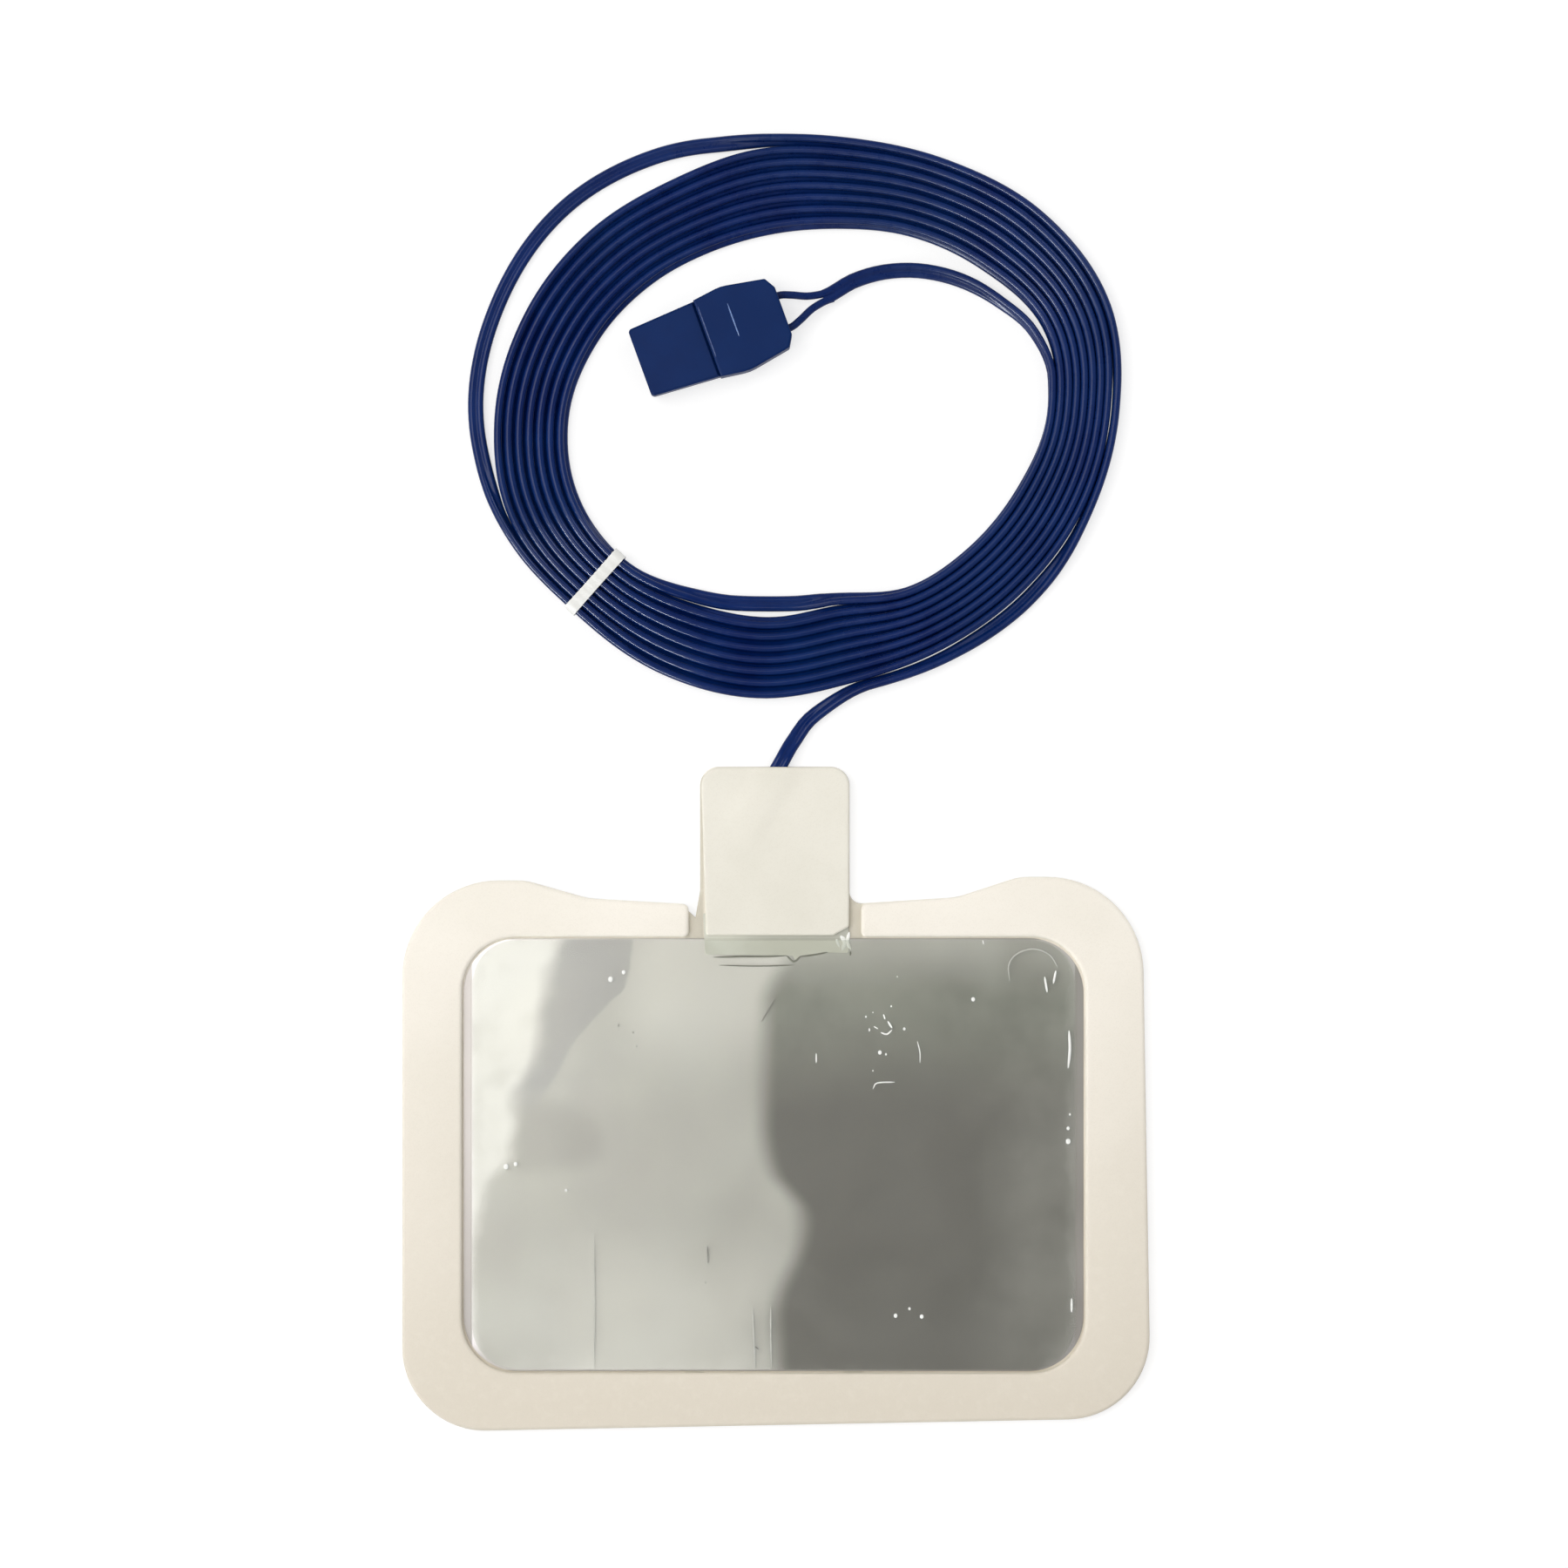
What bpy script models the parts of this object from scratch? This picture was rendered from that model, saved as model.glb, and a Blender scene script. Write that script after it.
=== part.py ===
"""Disposable return electrode for electrosurgery: a foam pad with foil and gel, and its lead in a tied coil.

Metres, +Z up. The pad lies gel side up on the plane z = 0. The origin is below the middle of the pad,
+X runs along its long side and +Y runs from the pad to its tab and lead.
"""

import math

import bmesh
import bpy
from mathutils import Matrix, Vector

# Fits between pieces
BOND = 0.0001
GAP = 0.0003
ARC_STEP = math.radians(12)

# Foam outline
PAD_WIDTH = 0.1676
PAD_OFFSET = 0.0004
PAD_LENGTH = 0.149
TAB_WIDTH = 0.0335
TAB_LENGTH = 0.0308
TAB_RADIUS = 0.0043
TAB_FILLET = 0.0026
EAR_HEIGHT = 0.0061
EAR_DIFFERENCE = 0.0008
EAR_WIDTH = 0.0275
EAR_SLOPE = 0.0140
EAR_RADIUS = 0.0215
PAD_RADIUS = 0.0185
NOTCH_DEPTH = 0.0030
NOTCH_WIDTH = 0.0042
SIDE_LEAN = 0.0020
BOTTOM_RISE = 0.0032

# Layers of the pad
BASE_THICKNESS = 0.0012
FRAME_THICKNESS = 0.0016
FOIL_THICKNESS = 0.0001
FILM_THICKNESS = 0.0001
GEL_THICKNESS = 0.0008
LINER_THICKNESS = 0.0001
COVER_THICKNESS = 0.0012
FOAM_ROUNDING = 0.0005

# Window in the foam frame, and what lies in it
WINDOW_WIDTH = 0.1396
WINDOW_LENGTH = 0.0977
WINDOW_CENTRE = (-0.0003, -0.0124)
WINDOW_RADIUS = 0.0122
SLOT_WIDTH = 0.0386
GEL_SIDE_MARGIN = 0.0024
GEL_END_MARGIN = 0.0008
LINER_OVERLAP = 0.0004
TAIL_WIDTH = 0.0195
FILM_WIDTH = 0.0326
FILM_LENGTH = 0.0100
FILM_REACH = 0.0041
COVER_CORNER = 0.0026

# Flat twin cord
CORE_DIAMETER = 0.00175
CORE_SPACING = 0.00175
WEB_THICKNESS = 0.0009
CORD_WIDTH = CORE_SPACING + CORE_DIAMETER

# Where the cord goes into the tab
ENTRY_X = 0.0009
ENTRY_LEAN = math.radians(30)
ENTRY_LENGTH = 0.0100
RIDGE_WALL = 0.0010
CONDUCTOR_DIAMETER = 0.0006
CONDUCTOR_LENGTH = 0.0048
CRIMP_LENGTH = 0.0038
CRIMP_BORE = 0.0009
CRIMP_START = 0.0014

# Coil: its centre, ahead of the tab's end, then the edge of the second turn and the pitch of the turns,
# every 20 degrees from +X
COIL_ACROSS = 0.0069
COIL_AHEAD = 0.0790
COIL_START = 278
COIL_TURNS = 8.2556
COIL_EDGE = (
    0.0686, 0.0708, 0.0681, 0.0637, 0.0611, 0.0615, 0.0617, 0.0649, 0.0683,
    0.0712, 0.0721, 0.0680, 0.0664, 0.0645, 0.0611, 0.0611, 0.0630, 0.0659,
)
COIL_PITCH = (
    0.00177, 0.00196, 0.00234, 0.00238, 0.00254, 0.00274, 0.00260, 0.00259, 0.00249,
    0.00235, 0.00230, 0.00205, 0.00249, 0.00262, 0.00251, 0.00200, 0.00195, 0.00193,
)
# How far the first turn stands off the others, and the last one off the bundle, at the same angles
FIRST_SLACK = (
    0.0002, 0.0002, 0, 0, 0, 0.0006, 0.0056, 0.0070, 0.0058,
    0.0038, 0.0003, 0, 0, 0, 0, 0.0009, 0.0016, 0.0002,
)
LAST_SLACK = (0, 0, 0, 0, 0, 0, 0, 0, 0, 0, 0, 0, 0.0008, 0.0022, 0.0002, 0, 0, 0)
COIL_STEPS = 72

# Tie round the coil
TIE_ANGLE = 218.5
TIE_WIDTH = 0.0031
TIE_THICKNESS = 0.0003

# Free stretches of the cord: the lead's route from the middle of the tab's end, the tail's from the coil's centre
LEAD_ROUTE = ((0.0042, 0.0057), (0.0091, 0.0117))
TAIL_ROUTE = (
    (0.0509, 0.0185), (0.0434, 0.0251), (0.0355, 0.0296), (0.0269, 0.0319), (0.0185, 0.0319), (0.0109, 0.0298),
)
TUBE_STEP = 0.0040
LEG_STEP = 0.0016

# Plug: nose towards +X of its own frame, whose origin is at the step between nose and grip,
# placed from the coil's centre
PLUG_OFFSET = (-0.0218, 0.0165)
PLUG_ANGLE = math.radians(200)
NOSE_LENGTH = 0.0162
NOSE_WIDTH = 0.0157
NOSE_ROOT_WIDTH = 0.0177
NOSE_THICKNESS = 0.0060
NOSE_ROUNDING = 0.0005
NOSE_CORNER = 0.0009
GRIP_LENGTH = 0.0179
GRIP_WIDTH = 0.0181
GRIP_BULGE = 0.0009
GRIP_THICKNESS = 0.0080
GRIP_BACK_WIDTH = 0.0112
GRIP_CHAMFER = 0.0015
GRIP_ROUNDING = 0.0009
GRIP_WALL = 0.0012
FRONT_WALL = 0.0018
NECK_WIDTH = 0.0132
NECK_THICKNESS = 0.0046
FLANGE_WIDTH = 0.0150
FLANGE_LENGTH = 0.0012
SLOT_SPACING = 0.0068
CONTACT_SLOT_WIDTH = 0.0050
CONTACT_SLOT_HEIGHT = 0.0038
CONTACT_WIDTH = 0.0040
CONTACT_THICKNESS = 0.0004
CONTACT_RISE = 0.0016
CONTACT_SETBACK = 0.0020
CONTACT_BOW = 0.0080
LEG_SPACING = 0.0077
LEG_INSET = 0.0058
SPLIT_LENGTH = 0.0095
BARREL_LENGTH = 0.0036

# Heights that follow from the layers
BASE_TOP = BASE_THICKNESS
FRAME_BOTTOM = BASE_TOP + BOND
FRAME_TOP = FRAME_BOTTOM + FRAME_THICKNESS
FOIL_BOTTOM = BASE_TOP + BOND
FOIL_TOP = FOIL_BOTTOM + FOIL_THICKNESS
FILM_BOTTOM = FOIL_TOP + BOND
GEL_BOTTOM = FILM_BOTTOM + FILM_THICKNESS + BOND
LINER_BOTTOM = GEL_BOTTOM + GEL_THICKNESS + BOND
COVER_BOTTOM = GEL_BOTTOM
CORD_BOTTOM = BASE_TOP + BOND
CORD_AXIS = CORD_BOTTOM + CORE_DIAMETER / 2
CORD_TOP = CORD_BOTTOM + CORE_DIAMETER
COIL_BOTTOM = TIE_THICKNESS + GAP
COIL_TOP = COIL_BOTTOM + CORD_WIDTH
COIL_AXIS = (COIL_BOTTOM + COIL_TOP) / 2
PLUG_AXIS = GRIP_THICKNESS / 2

# Places that follow from the outline
PAD_TOP = PAD_LENGTH / 2
PAD_BOTTOM = -PAD_LENGTH / 2
SHOULDER = PAD_TOP - TAB_LENGTH
WINDOW_TOP = WINDOW_CENTRE[1] + WINDOW_LENGTH / 2
ENTRY = Matrix.Translation((ENTRY_X, PAD_TOP, CORD_AXIS)) @ Matrix.Rotation(-ENTRY_LEAN, 4, "Z")
ENTRY_END = CORD_WIDTH / 2 * math.tan(ENTRY_LEAN) + GAP
COIL_CENTRE = (COIL_ACROSS, PAD_TOP + COIL_AHEAD)
PLUG_CENTRE = (COIL_CENTRE[0] + PLUG_OFFSET[0], COIL_CENTRE[1] + PLUG_OFFSET[1])
TAIL_TOP = PAD_TOP - ENTRY_LENGTH * math.cos(ENTRY_LEAN) - CORD_WIDTH / 2 * math.sin(ENTRY_LEAN) - GAP
PLUG = Matrix.Translation((*PLUG_CENTRE, PLUG_AXIS)) @ Matrix.Rotation(PLUG_ANGLE, 4, "Z")


def clear_scene():
    for obj in list(bpy.data.objects):
        bpy.data.objects.remove(obj, do_unlink=True)


def linear(byte):
    share = byte / 255
    return share / 12.92 if share <= 0.04045 else ((share + 0.055) / 1.055) ** 2.4


def material(name, colour, roughness, metallic=0.0):
    """A plain surface with a colour in screen bytes."""
    made = bpy.data.materials.new(name)
    made.use_nodes = True
    shader = made.node_tree.nodes["Principled BSDF"]
    shader.inputs["Base Color"].default_value = (*map(linear, colour), 1)
    shader.inputs["Roughness"].default_value = roughness
    shader.inputs["Metallic"].default_value = metallic
    return made


def finish(obj, surface, place=None):
    """Gives an object its surface and its place, and shades round sides smooth."""
    obj.data.materials.append(surface)
    if place is not None:
        obj.matrix_world = place
    if obj.type == "MESH":
        obj.data.shade_smooth()
        obj.data.set_sharp_from_angle(angle=math.radians(35))
    return obj


def object_from(name, bm):
    bmesh.ops.recalc_face_normals(bm, faces=bm.faces)
    mesh = bpy.data.meshes.new(name)
    bm.to_mesh(mesh)
    bm.free()
    obj = bpy.data.objects.new(name, mesh)
    bpy.context.collection.objects.link(obj)
    return obj


def loft(name, rings):
    """A closed solid through rings that all have the same number of points."""
    bm = bmesh.new()
    loops = [[bm.verts.new(point) for point in ring] for ring in rings]
    count = len(loops[0])
    for lower, upper in zip(loops, loops[1:]):
        for i in range(count):
            j = (i + 1) % count
            bm.faces.new((lower[i], lower[j], upper[j], upper[i]))
    bm.faces.new(loops[0])
    bm.faces.new(loops[-1])
    return object_from(name, bm)


def at_height(outline, z):
    return [(x, y, z) for x, y in outline]


def prism(name, outline, bottom, top):
    return loft(name, [at_height(outline, bottom), at_height(outline, top)])


def soft_prism(name, outline, bottom, top, rounding):
    """A prism whose upper rim is rounded over in two steps."""
    rings = [at_height(outline, bottom), at_height(outline, top - rounding)]
    for angle in (math.radians(45), math.radians(90)):
        inwards = inset(outline, rounding * (1 - math.cos(angle)))
        rings.append(at_height(inwards, top - rounding + rounding * math.sin(angle)))
    return loft(name, rings)


def box(name, low, high):
    outline = [(low[0], low[1]), (high[0], low[1]), (high[0], high[1]), (low[0], high[1])]
    return prism(name, outline, low[2], high[2])


def combine(target, tool, operation="DIFFERENCE"):
    """Adds a Boolean to the target and turns the tool into a guide."""
    modifier = target.modifiers.new(tool.name, "BOOLEAN")
    modifier.operation = operation
    modifier.object = tool
    tool.hide_render = True
    tool.display_type = "WIRE"


def rounded(corners):
    """A closed outline, run counter-clockwise, from corners given as x, y and fillet radius."""
    points = []
    for i, (x, y, radius) in enumerate(corners):
        here = Vector((x, y))
        before = (Vector(corners[i - 1][:2]) - here).normalized()
        after = (Vector(corners[(i + 1) % len(corners)][:2]) - here).normalized()
        turn = math.pi - before.angle(after)
        if radius == 0:
            points.append(here)
            continue
        start = here + before * radius * math.tan(turn / 2)
        middle = here + (before + after).normalized() * radius / math.cos(turn / 2)
        side = 1 if before.x * after.y - before.y * after.x < 0 else -1
        steps = max(1, round(turn / ARC_STEP))
        for k in range(steps + 1):
            points.append(middle + Matrix.Rotation(side * turn * k / steps, 2) @ (start - middle))
    return [tuple(point) for point in points]


def rectangle(centre, width, length, radius=0):
    x, y = centre
    corners = ((1, 1), (-1, 1), (-1, -1), (1, -1))
    return rounded([(x + a * width / 2, y + b * length / 2, radius) for a, b in corners])


def inset(outline, distance):
    """The outline moved inwards by a distance."""
    moved = []
    for i, point in enumerate(outline):
        here = Vector(point)
        before = (here - Vector(outline[i - 1])).normalized()
        after = (Vector(outline[(i + 1) % len(outline)]) - here).normalized()
        along = (before + after).normalized()
        inwards = Vector((-along.y, along.x))
        moved.append(tuple(here + inwards * distance / max(along.dot(after), 0.3)))
    return moved


def ear_corners(side, end):
    """Corners from the pad's upper corner, along its ear, to the end of its shoulder."""
    outer = PAD_WIDTH / 2 + side * PAD_OFFSET - (SIDE_LEAN if side > 0 else 0)
    height = EAR_HEIGHT if side > 0 else EAR_HEIGHT - EAR_DIFFERENCE
    inner = outer - EAR_WIDTH
    return [
        (side * outer, SHOULDER + height, EAR_RADIUS),
        (side * inner, SHOULDER + height, EAR_SLOPE),
        (side * (inner - EAR_SLOPE), SHOULDER + height / 4, EAR_SLOPE),
        (side * end, SHOULDER, 0),
    ]


def body_corners(left_end, right_end):
    """Corners of the pad's body, from its left shoulder round the bottom to its right shoulder."""
    half = PAD_WIDTH / 2
    bottom = [
        (PAD_OFFSET - half, PAD_BOTTOM, PAD_RADIUS),
        (PAD_OFFSET + half, PAD_BOTTOM + BOTTOM_RISE, PAD_RADIUS),
    ]
    return ear_corners(-1, left_end)[::-1] + bottom + ear_corners(1, right_end)


def backing_outline():
    """The die-cut outline: pad, ears, and the tab with a notch at the left of its root."""
    half = TAB_WIDTH / 2
    notch = (-half - NOTCH_WIDTH / 4, SHOULDER - NOTCH_DEPTH, 0)
    body = body_corners(half + NOTCH_WIDTH, half)
    body[-1] = (half, SHOULDER, TAB_FILLET)
    tab = [
        (half, PAD_TOP, TAB_RADIUS),
        (-half, PAD_TOP, TAB_RADIUS),
        (-half, SHOULDER + NOTCH_DEPTH, TAB_FILLET),
        notch,
    ]
    return rounded(body + tab)


def backing_foam(surface):
    obj = soft_prism("backing_foam", backing_outline(), 0, BASE_TOP, FOAM_ROUNDING)
    return finish(obj, surface)


def foam_frame(surface):
    """The foam border on the backing, open at the window and at the tab."""
    half = SLOT_WIDTH / 2
    body = rounded(body_corners(half - NOTCH_WIDTH, half - NOTCH_WIDTH))
    obj = soft_prism("foam_frame", body, FRAME_BOTTOM, FRAME_TOP, FOAM_ROUNDING)
    window = rectangle(WINDOW_CENTRE, WINDOW_WIDTH, WINDOW_LENGTH, WINDOW_RADIUS)
    combine(obj, prism("window_cutter", window, 0, 2 * FRAME_TOP))
    slot = box("slot_cutter", (-half, WINDOW_CENTRE[1], -FRAME_TOP), (half, PAD_TOP, 3 * FRAME_TOP))
    combine(obj, slot)
    return finish(obj, surface)


def foil_plate(surface):
    """The foil in the window, with the tail that runs up into the tab."""
    plate = rectangle(WINDOW_CENTRE, WINDOW_WIDTH - 2 * GAP, WINDOW_LENGTH - 2 * GAP, WINDOW_RADIUS)
    obj = prism("foil_plate", plate, FOIL_BOTTOM, FOIL_TOP)
    low = (-TAIL_WIDTH / 2, WINDOW_CENTRE[1], FOIL_BOTTOM)
    combine(obj, box("foil_tail", low, (TAIL_WIDTH / 2, TAIL_TOP, FOIL_TOP)), "UNION")
    return finish(obj, surface)


def gel_outline(overlap=0.0):
    width = WINDOW_WIDTH - 2 * GEL_SIDE_MARGIN + 2 * overlap
    length = WINDOW_LENGTH - 2 * GEL_END_MARGIN + 2 * overlap
    return rectangle(WINDOW_CENTRE, width, length, WINDOW_RADIUS - GEL_SIDE_MARGIN + overlap)


def gel_pad(surface):
    obj = prism("gel_pad", gel_outline(), GEL_BOTTOM, GEL_BOTTOM + GEL_THICKNESS)
    return finish(obj, surface)


def release_liner(surface):
    """The clear film over the gel, which is peeled off before use."""
    obj = prism("release_liner", gel_outline(LINER_OVERLAP), LINER_BOTTOM, LINER_BOTTOM + LINER_THICKNESS)
    return finish(obj, surface)


def insulating_film(surface):
    """The film across the foot of the tab, which keeps the crimps off the skin."""
    low_edge = WINDOW_TOP - FILM_REACH
    outline = rectangle((0, low_edge + FILM_LENGTH / 2), FILM_WIDTH, FILM_LENGTH)
    obj = prism("insulating_film", outline, FILM_BOTTOM, FILM_BOTTOM + FILM_THICKNESS)
    return finish(obj, surface)


def tab_cover(surface):
    """The foam strip over the tab, raised in a low ridge where the cord and crimps run under it."""
    half = TAB_WIDTH / 2
    foot = WINDOW_TOP + GAP
    plan = rounded([
        (half, PAD_TOP, TAB_RADIUS),
        (-half, PAD_TOP, TAB_RADIUS),
        (-half, foot, 0),
        (half - 1.4 * COVER_CORNER, foot, 0),
        (half, foot + 0.6 * COVER_CORNER, 0),
    ])
    top = COVER_BOTTOM + COVER_THICKNESS
    ceiling = CORD_TOP + BOND - CORD_AXIS
    channel = CORD_WIDTH / 2 + GAP
    wall = channel + RIDGE_WALL
    end = -(ENTRY_LENGTH + CRIMP_START + CRIMP_LENGTH + 2 * GAP)
    obj = prism("tab_cover", plan, COVER_BOTTOM, top)
    ridge = box("ridge", (-wall, end - RIDGE_WALL, COVER_BOTTOM - CORD_AXIS), (wall, wall, ceiling + RIDGE_WALL))
    ridge.matrix_world = ENTRY
    combine(ridge, prism("ridge_trim", plan, 0, top + CORD_WIDTH), "INTERSECT")
    combine(obj, ridge, "UNION")
    groove = box("cord_groove", (-channel, end, -CORD_AXIS), (channel, wall, ceiling))
    groove.matrix_world = ENTRY
    combine(obj, groove)
    return finish(obj, surface)


def twin_section():
    """The cord's outline lying flat: two round cores joined by a thin web, as points across and up."""
    radius = CORE_DIAMETER / 2
    waist = math.asin(WEB_THICKNESS / CORE_DIAMETER)
    points = []
    for side in (0, math.pi):
        for k in range(9):
            angle = side + (math.pi - waist) * (k / 4 - 1)
            centre = CORE_SPACING / 2 * math.cos(side)
            points.append((centre + radius * math.cos(angle), radius * math.sin(angle)))
    return points


def cord_entry(surface):
    """The last stretch of the cord, lying flat under the tab's cover."""
    section = twin_section()
    rings = [[(x, y, z) for x, z in section] for y in (-ENTRY_LENGTH, ENTRY_END)]
    return finish(loft("cord_entry", rings), surface, ENTRY)


def bar(name, radius, start, end, across, up=0.0, sides=12):
    """A round bar along the local Y axis."""
    angles = [2 * math.pi * k / sides for k in range(sides)]
    return loft(name, [
        [(across + radius * math.cos(a), y, up + radius * math.sin(a)) for a in angles] for y in (start, end)
    ])


def conductors(surface):
    """The bare copper ends of both cores."""
    start = -ENTRY_LENGTH - GAP
    for name, side in (("conductor_left", -1), ("conductor_right", 1)):
        across = side * CORE_SPACING / 2
        obj = bar(name, CONDUCTOR_DIAMETER / 2, start - CONDUCTOR_LENGTH, start, across)
        finish(obj, surface, ENTRY)


def crimps(surface):
    """The crimp sleeves that stand on the foil's tail and grip the copper."""
    start = -ENTRY_LENGTH - GAP - CRIMP_START
    half = (CORE_SPACING - GAP) / 2
    low = FOIL_TOP + BOND - CORD_AXIS
    for name, side in (("crimp_left", -1), ("crimp_right", 1)):
        across = side * CORE_SPACING / 2
        obj = box(name, (across - half, start - CRIMP_LENGTH, low), (across + half, start, -low))
        hole = bar(f"{name}_bore", CRIMP_BORE / 2, start - 2 * CRIMP_LENGTH, start + CRIMP_LENGTH, across)
        hole.matrix_world = ENTRY
        combine(obj, hole)
        finish(obj, surface, ENTRY)


def round_table(values, degrees):
    """A smooth closed curve through values that are evenly spaced round the circle."""
    place = degrees % 360 / 360 * len(values)
    i, share = int(place), place - int(place)
    a, b, c, d = (values[(i + k) % len(values)] for k in (-1, 0, 1, 2))
    bend = 2 * a - 5 * b + 4 * c - d
    twist = 3 * b - a - 3 * c + d
    return (2 * b + (c - a) * share + bend * share**2 + twist * share**3) / 2


def coil_radius(turns, offset=0.0):
    """Radius of the cord's middle after so many turns, plus an offset in pitches."""
    degrees = COIL_START + 360 * turns
    radius = round_table(COIL_EDGE, degrees) - (turns - 0.5 - offset) * round_table(COIL_PITCH, degrees)
    if turns <= 1:
        radius += max(0, round_table(FIRST_SLACK, degrees))
    if turns >= COIL_TURNS - 1:
        radius -= max(0, round_table(LAST_SLACK, degrees))
    return radius


def coil_point(turns, offset=0.0, away=0.0):
    angle = math.radians(COIL_START + 360 * turns)
    radius = coil_radius(turns, offset) + away
    return Vector(COIL_CENTRE) + radius * Vector((math.cos(angle), math.sin(angle)))


def coil_edges():
    """Outer edge along the first turn and inner edge along the last one, each with a step of one strand."""
    shares = [k / COIL_STEPS for k in range(COIL_STEPS + 1)]
    outer = [tuple(coil_point(share, 0.5)) for share in shares]
    inner = [tuple(coil_point(COIL_TURNS - 1 + share, -0.5)) for share in shares]
    return outer, inner


def cord_coil(surface):
    """The outer shape of all the turns as one solid ring."""
    outer, inner = coil_edges()
    obj = prism("cord_coil", outer, COIL_BOTTOM, COIL_TOP)
    combine(obj, prism("coil_hole", inner, 0, COIL_TOP + CORD_WIDTH))
    return finish(obj, surface)


def tie_place():
    """Frame of the tie across the strands, and how far the coil reaches along it each way."""
    turns = 4 + (TIE_ANGLE - COIL_START) % 360 / 360
    middle = coil_point(turns)
    along = (coil_point(turns + 0.01) - coil_point(turns - 0.01)).normalized()
    across = Vector((along.y, -along.x))
    first, last = turns % 1, COIL_TURNS - 1 + (turns - COIL_TURNS) % 1
    outwards, inwards = [0.0], [0.0]
    for step in range(-20, 21):
        for turn, offset, found in ((first, 0.5, outwards), (last, -0.5, inwards)):
            away = coil_point(turn + step / 1000, offset) - middle
            if abs(away.dot(along)) <= TIE_WIDTH / 2 + GAP:
                found.append(away.dot(across))
    place = Matrix.Translation((*middle, 0)) @ Matrix.Rotation(math.atan2(across.y, across.x), 4, "Z")
    return place, min(inwards), max(outwards)


def coil_tie(surface):
    """The flat band closed round the whole coil."""
    place, inner, outer = tie_place()
    half = TIE_WIDTH / 2
    hole_low = (inner - GAP, -TIE_WIDTH, COIL_BOTTOM - GAP)
    hole_high = (outer + GAP, TIE_WIDTH, COIL_TOP + GAP)
    wall = TIE_THICKNESS
    obj = box(
        "coil_tie",
        (hole_low[0] - wall, -half, hole_low[2] - wall),
        (hole_high[0] + wall, half, hole_high[2] + wall),
    )
    hole = box("tie_hole", hole_low, hole_high)
    hole.matrix_world = place
    combine(obj, hole)
    return finish(obj, surface, place)


def smooth_route(route, step, start_aim, end_aim):
    """Evenly spaced points on a smooth curve through the route, which leaves and ends in the aimed directions."""
    first = route[1] - 2 * (route[1] - route[0]).length * start_aim
    last = route[-2] + 2 * (route[-1] - route[-2]).length * end_aim
    points = [first, *route, last]
    fine = []
    for a, b, c, d in zip(points, points[1:], points[2:], points[3:]):
        for k in range(20):
            share = k / 20
            bend = 2 * a - 5 * b + 4 * c - d
            twist = 3 * b - a - 3 * c + d
            fine.append((2 * b + (c - a) * share + bend * share**2 + twist * share**3) / 2)
    fine.append(route[-1])
    lengths = [0.0]
    for a, b in zip(fine, fine[1:]):
        lengths.append(lengths[-1] + (b - a).length)
    count = max(2, round(lengths[-1] / step))
    even, i = [], 0
    for k in range(count + 1):
        target = lengths[-1] * k / count
        while i < len(fine) - 2 and lengths[i + 1] < target:
            i += 1
        even.append(fine[i].lerp(fine[i + 1], (target - lengths[i]) / (lengths[i + 1] - lengths[i])))
    return even


def tube(name, points, diameter, surface):
    curve = bpy.data.curves.new(name, "CURVE")
    curve.dimensions = "3D"
    curve.bevel_depth = diameter / 2
    curve.bevel_resolution = 2
    curve.use_fill_caps = True
    spline = curve.splines.new("POLY")
    spline.points.add(len(points) - 1)
    for place, point in zip(spline.points, points):
        place.co = (*point, 1)
    obj = bpy.data.objects.new(name, curve)
    bpy.context.collection.objects.link(obj)
    return finish(obj, surface)


def raised(place, height, origin=(0.0, 0.0)):
    return Vector((origin[0] + place[0], origin[1] + place[1], height))


def cord_lead(surface):
    """The free cord from the tab to where its first turn begins."""
    along = raised((coil_point(0.001) - coil_point(0)).normalized(), 0)
    end = raised(coil_point(1, 0.5, CORD_WIDTH / 2 + GAP), COIL_AXIS) - along * GAP
    route = [ENTRY @ Vector((0, ENTRY_END + GAP, 0))]
    for step, place in enumerate(LEAD_ROUTE, 1):
        share = step / (len(LEAD_ROUTE) + 1)
        height = CORD_AXIS + (COIL_AXIS - CORD_AXIS) * share
        route.append(raised(place, height, (0, PAD_TOP)))
    route.append(end)
    out = ENTRY.to_3x3() @ Vector((0, 1, 0))
    return tube("cord_lead", smooth_route(route, TUBE_STEP, out, along), CORD_WIDTH, surface)


def cord_tail(surface):
    """The free cord from the last turn to where its two cores part."""
    along = raised((coil_point(COIL_TURNS) - coil_point(COIL_TURNS - 0.001)).normalized(), 0)
    start = coil_point(COIL_TURNS - 1, -0.5, -CORD_WIDTH / 2 - GAP)
    route = [raised(start, COIL_AXIS) + along * GAP]
    for step, place in enumerate(TAIL_ROUTE, 1):
        share = step / (len(TAIL_ROUTE) + 1)
        height = COIL_AXIS + (PLUG_AXIS - COIL_AXIS) * share
        route.append(raised(place, height, COIL_CENTRE))
    route.append(PLUG @ Vector((-GRIP_LENGTH - SPLIT_LENGTH, 0, 0)))
    forwards = PLUG.to_3x3() @ Vector((1, 0, 0))
    return tube("cord_tail", smooth_route(route, TUBE_STEP, along, forwards), CORD_WIDTH, surface)


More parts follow.
